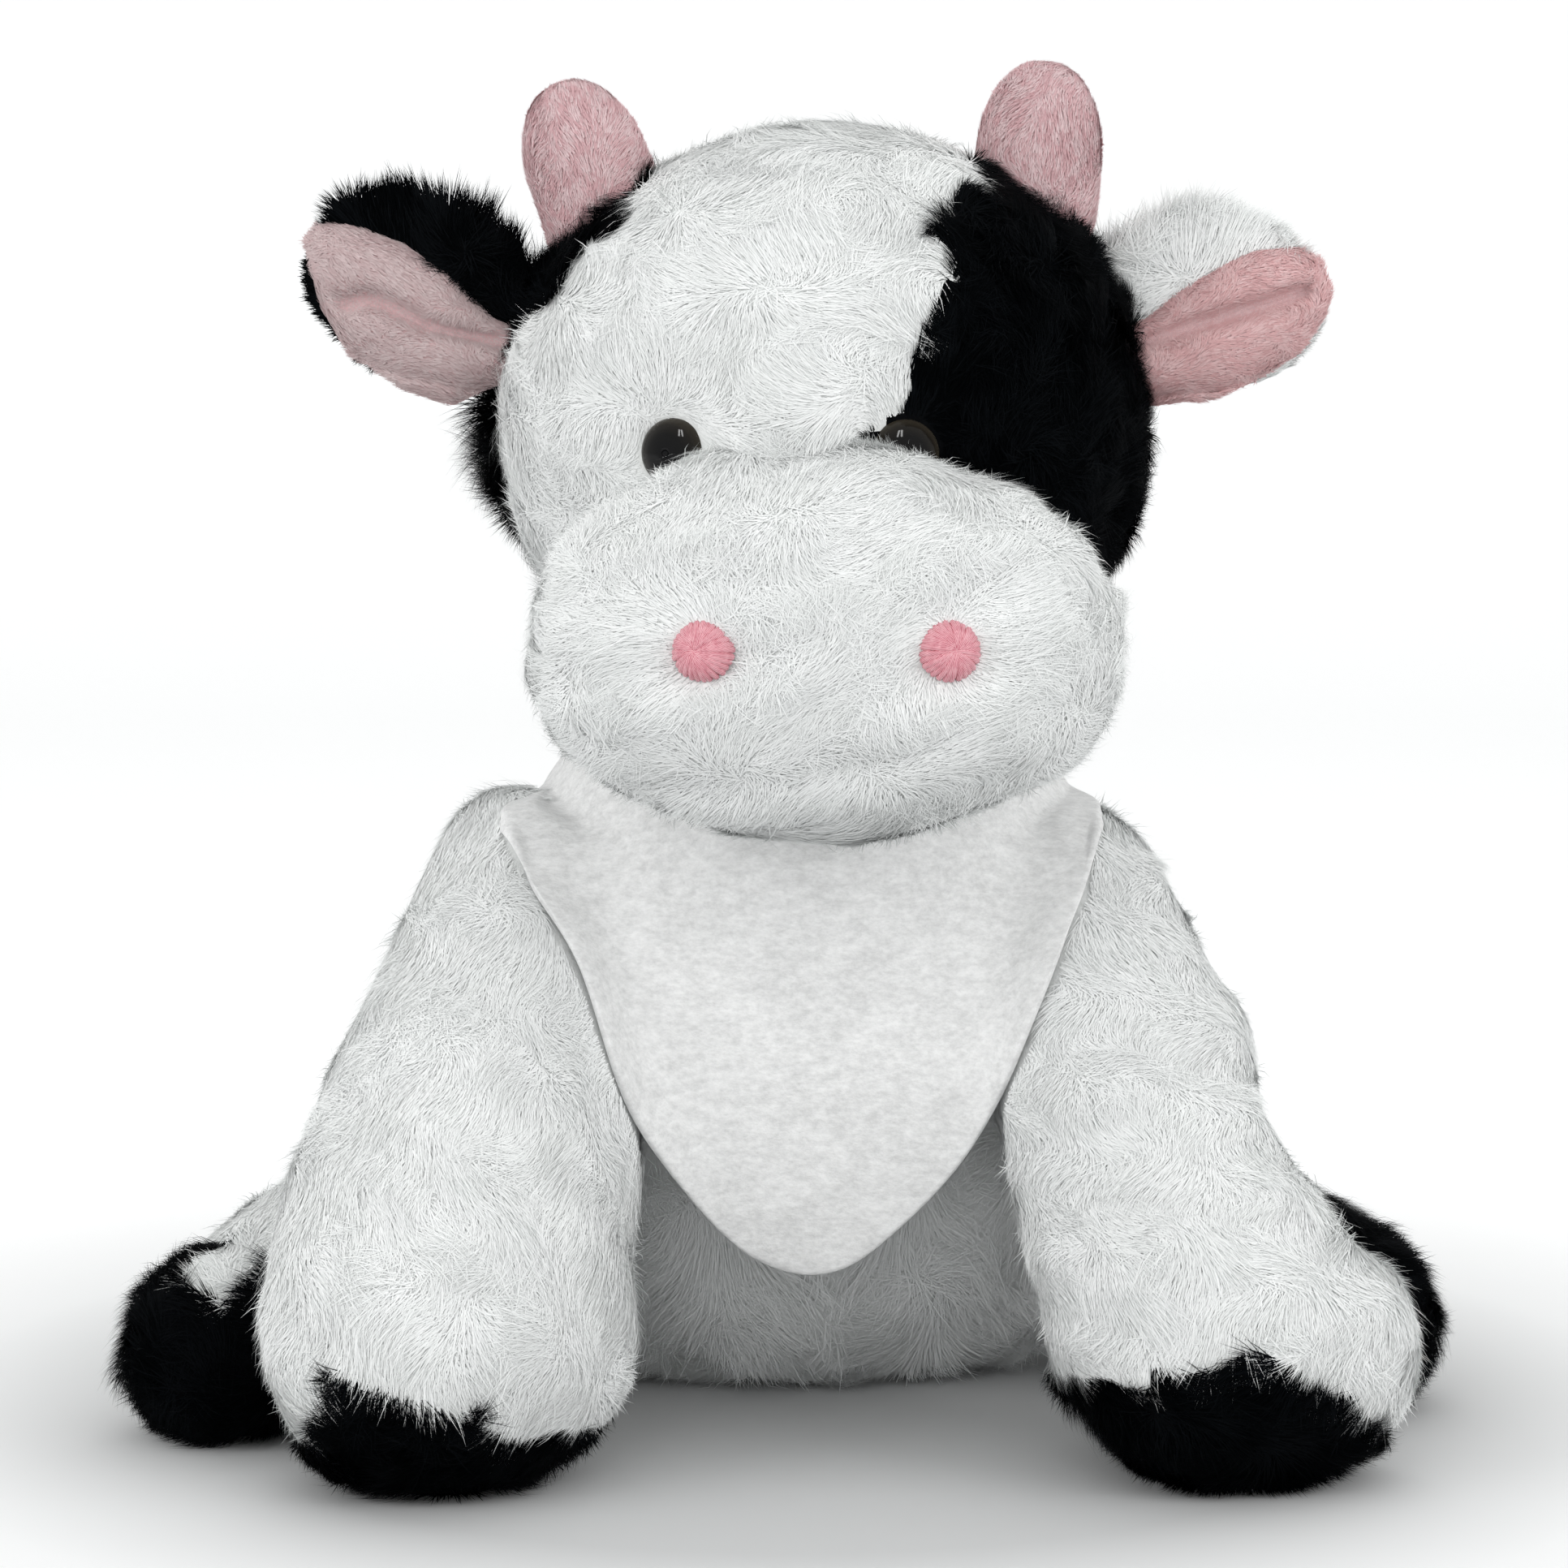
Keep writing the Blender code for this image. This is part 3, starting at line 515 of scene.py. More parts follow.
def coat(form, body, comb, kinds, seed, per_mm2=8.4, curved=0.15, length=8.0, width=0.155,
         lift=(0.12, -0.10), loft=0.6, tumble=0.85, wave=18.0, lock=5.0, gather=0.12, stray=0.07,
         bare=None, kind_of=None, reach=None):
    """Grows pile on a form. Lengths are in millimetres.

    Comb gives the way that the pile is brushed, and tumble is how far that wanders in waves.
    Kinds is (label, tones, slot, stance) for each colour of pile, and kind_of says which of them
    grows at each root. Stance is how much more than plain pile it stands up. A lock is a tuft of
    strands whose tips draw together, and loft is how far from the form roots may start. The
    curved share of the strands bends over, the rest is a straight undercoat, and a few strays
    stand up. Where reach gives more than the plain length, the pile stands out more too.
    """
    source = np.random.default_rng(seed)
    roots, normals = scattered(form, per_mm2, source)
    lock_roots, lock_normals = scattered(form, LOCKS_EACH / lock**2, source)
    if bare is not None:
        growing = ~bare(roots, normals)
        roots, normals = roots[growing], normals[growing]
    member = nearest(roots, lock_roots)

    def lay(points, upright, jitter, spread, standing):
        brushed = comb(points, upright) + tumble * swirls(points, seed + 7, wave * MM)
        brushed = along_surface(brushed + jitter, upright)
        more = standing - 1
        low = unit(upright * ((lift[0] + STANDING_LOW * more) * spread)[:, None] + brushed)
        rise = (lift[1] + STANDING_HIGH * more * spread)[:, None]
        return low, unit(upright * rise + brushed - np.array([0, 0, DROOP]))

    lock_length = length * MM * source.uniform(0.75, 1.15, len(lock_roots))
    lock_jitter = source.normal(0, LOCK_TURN, lock_roots.shape)
    lock_spread = source.uniform(0.75, 1.3, len(lock_roots))
    plain = np.ones(len(lock_roots))
    lock_low, lock_high = lay(lock_roots, lock_normals, lock_jitter, lock_spread, plain)
    lock_middle = lock_roots + lock_low * lock_length[:, None] * 0.5
    lock_tip = lock_middle + lock_high * lock_length[:, None] * 0.5

    count = len(roots)
    share = reach(roots, normals) if reach else np.ones(count)
    size = lock_length[member] * source.uniform(0.72, 1.12, count) * share
    jitter = lock_jitter[member] * 0.7 + source.normal(0, STRAND_TURN, roots.shape)
    which = kind_of(roots, normals) if kind_of else np.zeros(count, int)
    stance = np.array([kind[3] for kind in kinds])[which]
    strays = source.uniform(size=count) < stray
    standing = np.maximum(stance, np.where(strays, STRAY_STANCE, 1.0))
    spread = lock_spread[member] * source.uniform(0.7, 1.3, count)
    low, high = lay(roots, normals, jitter, spread, standing * np.maximum(1, 2 * share - 1))
    short = np.minimum(share, 1)
    raised = min(loft, 0.25 * length) * source.uniform(0, 1, count) * short / standing
    roots = roots + normals * (raised * MM)[:, None]
    middle = roots + low * (size * 0.5)[:, None]
    tip = middle + high * (size * 0.5)[:, None]
    drawn = (gather * source.uniform(0.5, 1.3, count) * short / standing)[:, None]
    offset = lock_roots[member] - roots
    middle = middle + (lock_middle[member] - middle) * drawn * 0.35
    tip = tip + (lock_tip[member] - tip) * np.minimum(drawn, 0.9)
    middle[:, 2] = np.maximum(middle[:, 2], 0.0005)
    tip[:, 2] = np.maximum(tip[:, 2], 0.0004)

    direction = unit(tip - roots)
    flat_side = unit(np.cross(direction, normals))
    up_side = np.cross(flat_side, direction)
    angle = source.uniform(-ROLL, ROLL, count)[:, None]
    sides = flat_side * np.cos(angle) + up_side * np.sin(angle)
    facing = np.cross(sides, direction)
    base = unit(normals - ROUND_LOCK * offset / (lock * MM))
    shading = [unit(base + rounding * facing) for rounding in ROUNDINGS]
    wide = width * MM * source.uniform(0.75, 1.25, count)
    lock_tone = source.uniform(size=len(lock_roots))
    tone_pick = 0.5 * lock_tone[member] + 0.5 * source.uniform(size=count)
    bends = source.uniform(size=count) < curved
    for number, (label, tones, slot, _) in enumerate(kinds):
        edges = np.quantile(tone_pick, np.linspace(0, 1, len(tones) + 1))
        for tone, look in enumerate(tones):
            last = tone == len(tones) - 1
            chosen = (which == number) & (tone_pick >= edges[tone])
            chosen &= (tone_pick < edges[tone + 1]) | last
            if not chosen.any():
                continue
            a, b = chosen & bends, chosen & ~bends
            bent = [roots[a], middle[a], tip[a]]
            straight = [roots[b], (middle[b] + 2 * tip[b]) / 3]
            groups = [
                (bent, [wide[a], wide[a] * 0.85], sides[a], [shade[a] for shade in shading]),
                (straight, [wide[b] * 1.5], sides[b], [shade[b] for shade in shading[:2]]),
            ]
            item = strands_mesh(f"{label}_{'abc'[tone]}", groups)
            item.data.materials.append(look)
            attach(item, body)


def radial(centre, extra):
    """Pile brushed away from a point, and a little towards the extra way."""
    return lambda points, normals: unit(points - centre) + extra


def towards(way, spread_from=None, share=0.0):
    """Pile brushed one way, and outwards from a line through a point along that way."""
    line = np.array(way, float)
    line /= np.linalg.norm(line)

    def comb(points, normals):
        brushed = np.tile(line, (len(points), 1))
        if spread_from is not None:
            offset = points - spread_from
            brushed = brushed + share * unit(offset - line * (offset @ line)[:, None])
        return brushed

    return comb


# Camera, floor and light

camera = placed("camera", bpy.data.cameras.new("camera"))
camera.data.lens = 118
camera.data.sensor_width = 36
camera.location = spot(-7, -940, 225)
camera.rotation_euler = (math.radians(90 - 6.78), 0, 0)
bpy.context.scene.camera = camera


def build_floor():
    """A pale floor that curves up into a backdrop. It whitens away from the toy."""
    bpy.ops.object.select_all(action="DESELECT")
    bpy.ops.mesh.primitive_grid_add(x_subdivisions=2, y_subdivisions=48, size=1, location=(0, 0, 0))
    floor = bpy.context.active_object
    floor.name = "floor"
    length, width, front, flat_end, bend = 4.2, 5, 1.6, 1.2, 0.5
    for point in floor.data.vertices:
        run = (point.co.y + 0.5) * length - front
        rise = max(0.0, run - flat_end)
        turn = min(rise / bend, math.pi / 2)
        point.co.y = min(run, flat_end) + bend * math.sin(turn)
        point.co.z = bend * (1 - math.cos(turn)) + max(0.0, rise - bend * math.pi / 2)
        point.co.x *= width
    made = Recipe("studio_floor", 0.9, 0.05, base_colour=(0.64, 0.645, 0.65))
    path = made.node("ShaderNodeLightPath")
    ray_names = ("Is Camera Ray", "Is Glossy Ray", "Is Transmission Ray")
    rays = [Wire(made, path.socket.node.outputs[name]) for name in ray_names]
    limited = {"operation": "ADD", "use_clamp": True}
    seen = made.node("ShaderNodeMath", limited, {0: rays[0] + rays[1], 1: rays[2]})
    far = made.node("ShaderNodeVectorMath", {"operation": "LENGTH"}, {0: made.place()}, output=1)
    away = made.ramp(far, (0.11, grey(0)), (0.165, grey(0.68)), (0.24, grey(1)))
    glow = made.node("ShaderNodeEmission", None, {"Color": away, "Strength": 0.46})
    plain = Wire(made, made.shader.outputs[0])
    added = made.node("ShaderNodeAddShader", None, {0: plain, 1: glow})
    mixed = made.node("ShaderNodeMixShader", None, {0: seen, 1: plain, 2: added})
    made.feed(made.tree.nodes["Material Output"], {"Surface": mixed})
    floor.data.materials.append(made.material)
    bpy.ops.object.shade_smooth()


def area_light(name, place, target, size, power):
    """A white rectangular lamp that faces a target."""
    lamp = bpy.data.lights.new(name, "AREA")
    lamp.shape = "RECTANGLE"
    lamp.size, lamp.size_y = size
    lamp.energy = power
    item = placed(name, lamp)
    item.location = place
    item.rotation_euler = (Vector(target) - Vector(place)).to_track_quat("-Z", "Y").to_euler()
    return item


def build_light():
    """A bright room with soft fills, and two tubes that only show in what is glossy."""
    world = bpy.data.worlds.new("soft_room")
    bpy.context.scene.world = world
    world.use_nodes = True
    background = world.node_tree.nodes["Background"]
    background.inputs["Color"].default_value = (0.99, 1.0, 0.99, 1)
    background.inputs["Strength"].default_value = 0.81
    for number, x in enumerate((-0.16, 0.02)):
        tube = area_light(f"tube_{number}", (x, -0.78, 1.25), (0, 0, 0.13), (0.10, 0.55), 3.6)
        tube.visible_diffuse = False
    area_light("top_back", (0.10, 0.50, 1.25), (0, -0.05, 0.10), (0.7, 0.5), 0.6)
    fill = area_light("front_fill", (-0.20, -1.4, 0.75), (0, 0, 0.10), (1.0, 1.0), 2.3)
    fill.visible_glossy = False
    for side, power in (("left", 5.4), ("right", 5.6)):
        place = (SIDES[side] * 1.2, -0.75, 0.55)
        fill = area_light(f"side_fill_{side}", place, (0, 0, 0.12), (0.8, 0.8), power)
        fill.visible_glossy = False
    bpy.context.scene.view_settings.view_transform = "Standard"


build_floor()
build_light()


# Forms

# How finely the legs and the small forms are remeshed
LEG_VOXEL, SMALL_VOXEL = 0.0028, 0.0014
# How far the filling pushes each leg out, in millimetres
PLUMP = {"front_left": 2.2, "front_right": 1.2, "hind_left": 1.4, "hind_right": 1.4}
# Soft bulges, and one dent, as (place, size, height) in millimetres
BULGES = {
    "head": [((-60, 6, 177), 28, 7.5), ((8, 0, 236), 28, 2.2), ((-6, -64, 181), 19, 6.5)],
    "muzzle": [((-36, -78, 170), 26, 2.2), ((34, -78, 172), 26, 1.6), ((6, -72, 176), 30, 2.4),
               ((-20, -69, 173), 15, 4.2)],
    "body": [((-56, 4, 104), 34, 3)],
    "front_left": [((-58, 4, 104), 34, 3), ((-33, -70, 16), 30, 6)],
    "front_right": [((87, -48, 51), 32, -7), ((100, -68, 17), 30, 8)],
}


def distances(points, places):
    """How far each point lies from the nearest of some places."""
    return np.min([np.linalg.norm(points - place, axis=1) for place in places], axis=0)


def filled(form, amount, hollows=(), hollow=5.0, brim=15.0):
    """Fills a form out by an even amount in millimetres, except in the hollows."""
    def shift(points, normals):
        share = np.ones(len(points))
        if len(hollows):
            share = np.clip((distances(points, hollows) / MM - hollow) / (brim - hollow), 0, 1)
        return normals * (amount * MM * share)[:, None]

    moved(form, shift)


def puffed(form, bulges):
    """Pushes parts of a form out, one bulge after another."""
    for place, size, height in bulges:
        def shift(points, normals):
            away = np.linalg.norm(points - spot(*place), axis=1) / (size * MM)
            share = np.clip(1 - away**2, 0, 1) ** 2
            return normals * (height * MM * share)[:, None]

        moved(form, shift)


def lumpy(form, seed, wave, depth):
    """Uneven filling: shallow soft lumps."""
    moved(form, lambda p, n: n * (swirls(p, seed, wave * MM)[:, :1] * depth * MM))


head = stuffed("head_form", ["head_skin"], "head", 0.0030,
               also=["head_stuffing", "eye_washer_left", "eye_washer_right"])
muzzle = stuffed("muzzle_form", ["muzzle_skin"], "head", 0.0028, also=["muzzle_stuffing"])
trunk = stuffed("body_form", ["body_skin"], "body", 0.0032, also=["body_stuffing", "pellet_bag"])
neck = stuffed("neck_form", ["neck_plug"], "neck", 0.0026, grow=0.0)
moved(neck, lambda p, n: (p - NECK) * np.array([0.75, 0.45, -0.25]) + np.array([0, 0, 0.003]))
for form, plump, hollows, part, seed, wave, depth in (
        (head, 2.2, list(EYES.values()), "head", 301, 16, 0.5),
        (muzzle, 2.0, list(NOSTRILS.values()), "muzzle", 302, 15, 0.5),
        (trunk, 2.2, (), "body", 303, 18, 0.6)):
    filled(form, plump, hollows)
    puffed(form, BULGES[part])
    lumpy(form, seed, wave, depth)
legs = {}
for side in SIDES:
    for kind in ("front", "hind"):
        nodes = [f"{kind}_leg_{side}_skin", f"{kind}_hoof_{side}"]
        leg = stuffed(f"{kind}_leg_{side}_form", nodes, f"{kind}_leg_{side}", LEG_VOXEL,
                      also=[f"{kind}_leg_{side}_stuffing"])
        legs[kind, side] = leg
        filled(leg, PLUMP[f"{kind}_{side}"])
        lumpy(leg, 310 + len(legs), 15, 0.5)
        puffed(leg, BULGES.get(f"{kind}_{side}", ()))
for form in (trunk, *legs.values()):
    moved(form, lambda p, n: np.maximum(0, 0.0003 - p[:, 2:]) * [0, 0, 1])
ears = {}
horns = {}
for side in SIDES:
    look, slot = (BLACK_BACKING, "black_pile") if side == "left" else (WHITE_BACKING, "white_pile")
    ears[side] = stuffed(f"ear_{side}_form", [f"ear_{side}_outer"], f"ear_{side}", SMALL_VOXEL,
                         -0.0003, look)
    horns[side] = stuffed(f"horn_{side}_form", [f"horn_{side}"], f"horn_{side}", SMALL_VOXEL,
                          0.0003, PINK_BACKING)
tail = stuffed("tail_form", ["tail", "tail_tuft"], "tail", SMALL_VOXEL, -0.0004)


# Each ear's way from root to tip, and its way up
EAR_LINES = {}
EAR_UPS = {}
# How far an ear's upper half widens towards the tip and the root, and how far its tip draws in
EAR_SPREADS = {"left": (0.0125, 0.0060, 0.0), "right": (0.0, 0.0130, 0.0060)}
# How much more its upper edge rises at the tip, and how much less at the root
EAR_CORNERS = {"left": (0.0045, 0.0), "right": (-0.0015, 0.0055)}
EAR_RISE, EAR_FALL = 0.0055, 0.0030


def ear_span(side):
    """The lowest and highest corners of an ear."""
    low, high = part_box(f"ear_{side}_outer")
    return np.array(low), np.array(high)


def reshape_ear(side, joint):
    """Raises an ear's edges, widens its upper half, and draws in its tip."""
    line, upper = EAR_LINES[side], EAR_UPS[side]
    tip, root, drawn = EAR_SPREADS[side]
    tip_rise, root_rise = EAR_CORNERS[side]
    low, high = ear_span(side)
    half = float(np.linalg.norm(high - low)) / 2

    def shift(points, normals):
        along = (points - joint) @ line / half - 1
        rise = np.clip((points - joint) @ upper / 0.015, -1, 1.2)
        wide = np.where(along > 0, tip, root) * np.clip(along * 1.6, -1, 1) * np.clip(rise, 0, 1)
        inward = drawn * np.clip(along * 1.6, 0, 1)
        raised = EAR_RISE + np.where(along > 0, tip_rise, -root_rise) * np.clip(along * 1.6, -1, 1)
        lifted = np.where(rise > 0, rise * raised, -rise * EAR_FALL)
        return (wide - inward)[:, None] * line + lifted[:, None] * upper

    moved(ears[side], shift)


for side in SIDES:
    joint = JOINTS[f"ear_{side}"]
    low, high = ear_span(side)
    EAR_LINES[side] = unit(((low + high) / 2 - joint)[None])[0]
    EAR_UPS[side] = unit(np.cross(EAR_LINES[side][None], [[0, 1.0, 0]]))[0] * SIDES[side]
    reshape_ear(side, joint)


# Colours of the pile


def patch_edge(places, table):
    """Where a patch's edge runs at each place, from a few measured pairs in millimetres."""
    pairs = np.array(sorted(table)) * MM
    return np.interp(places, pairs[:, 0], pairs[:, 1])


# Edges of the head's black patches: (height, across) for the right eye's patch and the left one's
# front edge, (height, depth) for the left one's edge at the back
FACE_PATCH = [
    (150, 13), (178, 12.5), (180.5, 8), (183.8, 10.4), (187.8, 14), (196, 15), (200, 15), (204, 18),
    (209.7, 22.5), (212, 23), (215.5, 20.5), (219, 21.5), (223.4, 24), (229.5, 29.5), (240, 37),
]
LEFT_BORDER = [
    (150, -72), (157, -66), (161, -58), (166, -57), (175, -59), (180.5, -60.2), (187.7, -59.3),
    (195, -55.3), (202, -49), (210, -42.2), (219.4, -32.3), (224, -31), (228, -33), (240, -36),
]
LEFT_BACK = [(150, -16), (192, -18), (205, -12), (214, 4), (221, 18), (240, 40)]


def head_colour(points, normals):
    """1 where the head's pile is black: the patch over the right eye, and the left of the back."""
    wobble = swirls(points, 91, 0.014)[:, 0] * 1.5 * MM
    x, y, z = (points - np.array([NECK[0], NECK[1], 0])).T
    right = (x + wobble > patch_edge(z, FACE_PATCH)) & (y < 0.012 + wobble) & (z > 0.148)
    left = (x < -0.008 + wobble * 2) & (y + wobble > patch_edge(z, LEFT_BACK))
    left |= x + wobble * 0.7 < patch_edge(z, LEFT_BORDER)
    return (right | left & (z > 0.146)).astype(int)


# The front hooves' upper edges, as (across, height)
FRONT_HOOF = {
    "left": [(-98, 2), (-91, 5), (-87, 20), (-81, 25), (-68, 22), (-56, 15), (-38, 11), (-20, 8)],
    "right": [(20, 10), (36, 14), (42, 19), (51, 23), (71, 28), (90, 20), (96, 10), (110, 4)],
}


def hoof_colour(side, kind):
    """Which roots of a leg are black. A hoof's edge slants, and a hind hoof has a white notch."""
    low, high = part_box(f"{kind}_hoof_{side}")
    foot = np.array((low + high) / 2)
    line = foot - JOINTS[f"{kind}_leg_{side}"]
    reach = np.linalg.norm(line)
    way = line / reach
    across = unit(np.cross(way, [[0, 0, 1.0]]))[0]

    def front(points, normals):
        wobble = swirls(points, 93, 0.012)[:, 0] * 1.6 * MM
        edge = patch_edge(points[:, 0] - NECK[0], FRONT_HOOF[side])
        behind = np.maximum(0, points[:, 1] - foot[1] - 0.004)
        return (points[:, 2] + wobble < edge - 0.4 * behind).astype(int)

    def hind(points, normals):
        wobble = swirls(points, 95, 0.012)[:, 0] * 1.5 * MM
        along = (points - foot) @ way
        beside = (points - foot) @ across + 0.003
        notch = (np.abs(beside) < 0.005) & (normals[:, 2] > 0.55) & (along < 0.004)
        if side == "right":
            return ((along + wobble > -0.034) & (points[:, 2] < 0.036 + 0.4 * wobble)).astype(int)
        return ((along + wobble > -0.011) & ~notch).astype(int)

    return front if kind == "front" else hind


def two_tone(form, colour_of):
    """Gives the faces of a form the dark backing where dark pile grows."""
    form.data.materials.append(BLACK_BACKING)
    centres = np.array([face.center for face in form.data.polygons])
    facings = np.array([face.normal for face in form.data.polygons])
    form.data.polygons.foreach_set("material_index", colour_of(centres, facings))


def white_kind(label):
    return (f"{label}_white_pile", WHITE_TONES, "white_pile", 1.0)


def black_kind(label):
    return (f"{label}_black_pile", BLACK_TONES, "black_pile", 3.0)


def parted(comb, places, reach, strength=2.0):
    """The same brushing, but turned away from some places within a reach of them."""
    def brushed(points, normals):
        ways = comb(points, normals)
        for place in places:
            offset = points - place
            gap = np.linalg.norm(offset, axis=1, keepdims=True)
            ways = ways + strength * np.maximum(0, 1 - gap / (reach * MM)) * unit(offset)
        return ways

    return brushed


def trimmed(places, start, end, least):
    """Pile that is short at some places and grows to its full length away from them."""
    def share(points, normals):
        far = (distances(points, places) / MM - start) / (end - start)
        return least + (1 - least) * np.clip(far, 0, 1)

    return share


def covered(points, normals, cover, deep=9.0):
    """Which points lie behind a sheet, seen along their normals or from the front."""
    tree, low, high = cover
    found = np.zeros(len(points), bool)
    front = Vector((0, -1, 0))
    for index in np.flatnonzero(((points > low - deep * MM) & (points < high + deep * MM)).all(1)):
        place, normal = Vector(points[index]), Vector(normals[index])
        hit = tree.ray_cast(place, normal, deep * MM)[0]
        if hit is None and normal.y < -0.3:
            hit = tree.ray_cast(place, front, deep * MM)[0]
        found[index] = hit is not None
    return found


# Bib

# The bib's lower edge, as (across, height) from the middle, seen from the front
BIB_EDGE = [
    (-57.5, 112), (-52, 100), (-46.5, 93), (-42, 85.3), (-38.5, 75.6), (-35.5, 65.2), (-31.5, 56.2),
    (-26, 47.8), (-20, 39.8), (-13.5, 33.5), (-7, 30.4), (-2.3, 29.6), (3.3, 30.5), (8, 33.4), (13, 38),
    (19, 43.8), (26, 52.6), (31.3, 63.2), (35.5, 74.6), (39.5, 84), (43.5, 93), (47, 101), (50, 112),
]
# Half the ring's width and depth, and the height, of the band's upper and lower edges
BAND_TOP = (0.0385, 0.0335, 0.0075)
BAND_RIM = (0.0475, 0.0415, -0.0055)
LEAST_DROP = 0.004
CLOTH_GAP = 0.0036


def build_bib():
    """One piece of fleece: a band round the neck that falls into a rounded flap in front.

    The flap hangs from the band and lies taut over the body and the tops of the front legs.
    """
    ring = Matrix.Translation(spot(-3, -5, 118.5)) @ Matrix.Rotation(math.radians(11), 4, "X")
    turns, band, drops = 132, 6, 30
    lay = np.zeros((drops + 1, turns, 3))
    rims = []
    uppers = []
    front_side = np.zeros(turns, bool)
    for turn in range(turns):
        angle = math.tau * turn / turns - math.pi
        across, deep = math.sin(angle), -math.cos(angle)
        for edge, (wide, far, high) in ((uppers, BAND_TOP), (rims, BAND_RIM)):
            edge.append(ring @ Vector((wide * across, far * deep, high)))
        rim = rims[turn]
        front_side[turn] = front = deep < 0
        x, bottom = rim.x, rim.z - LEAST_DROP
        if front:
            x = NECK[0] + (-3.7 + 53.7 * across) * MM
            bottom = min(patch_edge(np.array([x - NECK[0]]), BIB_EDGE)[0], bottom)
        for drop in range(drops + 1):
            share = drop / drops
            swing = min(1.0, share * 3) if front else 0.0
            lay[drop, turn] = (rim.x * (1 - swing) + x * swing, rim.y, rim.z + (bottom - rim.z) * share)
    under = [search_tree(form)[0] for form in (trunk, legs["front", "left"], legs["front", "right"])]
    limits = np.full((drops + 1, turns), 1.0)
    for drop in range(1, drops + 1):
        for turn in np.flatnonzero(front_side):
            x, _, z = lay[drop, turn]
            hits = [tree.ray_cast(Vector((x, -0.3, z)), Vector((0, 1, 0)))[0] for tree in under]
            met = [hit.y for hit in hits if hit is not None]
            if met:
                limits[drop, turn] = min(met) - CLOTH_GAP
    depth = lay[:, :, 1].copy()
    for _ in range(400):
        smoother = depth.copy()
        smoother[1:-1] = (depth[:-2] + depth[2:]) / 2
        smoother[-1] = depth[-2]
        sideways = (np.roll(smoother, 1, 1) + np.roll(smoother, -1, 1)) / 2
        smoother[1:] = 0.5 * smoother[1:] + 0.5 * sideways[1:]
        depth[1:] = np.minimum(smoother[1:], limits[1:])
    lay[:, :, 1] = np.where(front_side[None], depth, lay[:, :, 1])
    points = [uppers[turn].lerp(rims[turn], row / band) for row in range(band) for turn in range(turns)]
    points += [Vector(place) for row in lay for place in row]
    bib = meshed("bib", points, [], grid_faces(band + drops + 1, turns, True))
    edit(bib)
    bpy.ops.mesh.normals_make_consistent(inside=False)
    close_edit()
    keep(bib, "SMOOTH", factor=0.5, iterations=4)
    keep(bib, "SOLIDIFY", thickness=0.0015, offset=0.0)
    keep(bib, "SUBSURF", levels=1, render_levels=1)
    smooth(bib)
    bib.data.materials.append(FLEECE)
    spot(-2, -36, 113)
    spot(-2, -52, 97)
    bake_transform(bib)
    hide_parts("bandana_collar", "bandana_flap")
    return bib


bib = build_bib()


# Ear linings

# Each lining's upper and lower edges and its fold, as (across, height), seen from the front
LININGS = {
    "left": {
        "top": [(-92.1, 213), (-90, 216.1), (-83.4, 215.6), (-74.7, 212.5), (-66, 206.8), (-58.7, 199.5),
                (-54, 197)],
        "bottom": [(-92.1, 213), (-89.2, 201), (-84.9, 193.8), (-74.7, 186.6), (-66, 183.7), (-61.6, 186),
                   (-54, 189)],
        "fold": [(-84.9, 201.7), (-79.9, 202.6), (-75.9, 200.9), (-70.4, 198.1), (-59.9, 195.8), (-55, 195)],
    },
    "right": {
        "top": [(52, 196.5), (57.5, 199.6), (66.2, 206), (76.4, 211.1), (85.1, 211.8), (88.4, 209.8),
                (90.4, 204)],
        "bottom": [(52, 185), (58.2, 183.7), (70.6, 185.2), (79.3, 189.5), (85.1, 193.8), (89.4, 200),
                   (90.4, 204)],
        "fold": [(54, 194.5), (85.5, 204)],
    },
}


def from_line(flat, line):
    """How far places in a plane lie from a line of straight pieces."""
    gaps = []
    for start, end in zip(line[:-1], line[1:]):
        run = end - start
        share = np.clip((flat - start) @ run / max(run @ run, 1e-9), 0, 1)
        gaps.append(np.linalg.norm(flat - start - share[:, None] * run, axis=1))
    return np.min(gaps, axis=0)


def from_fold(points, side):
    """How far points lie from an ear lining's fold, in millimetres, seen from the front."""
    flat = (points[:, [0, 2]] - [NECK[0], 0]) / MM
    return from_line(flat, np.array(LININGS[side]["fold"], float))


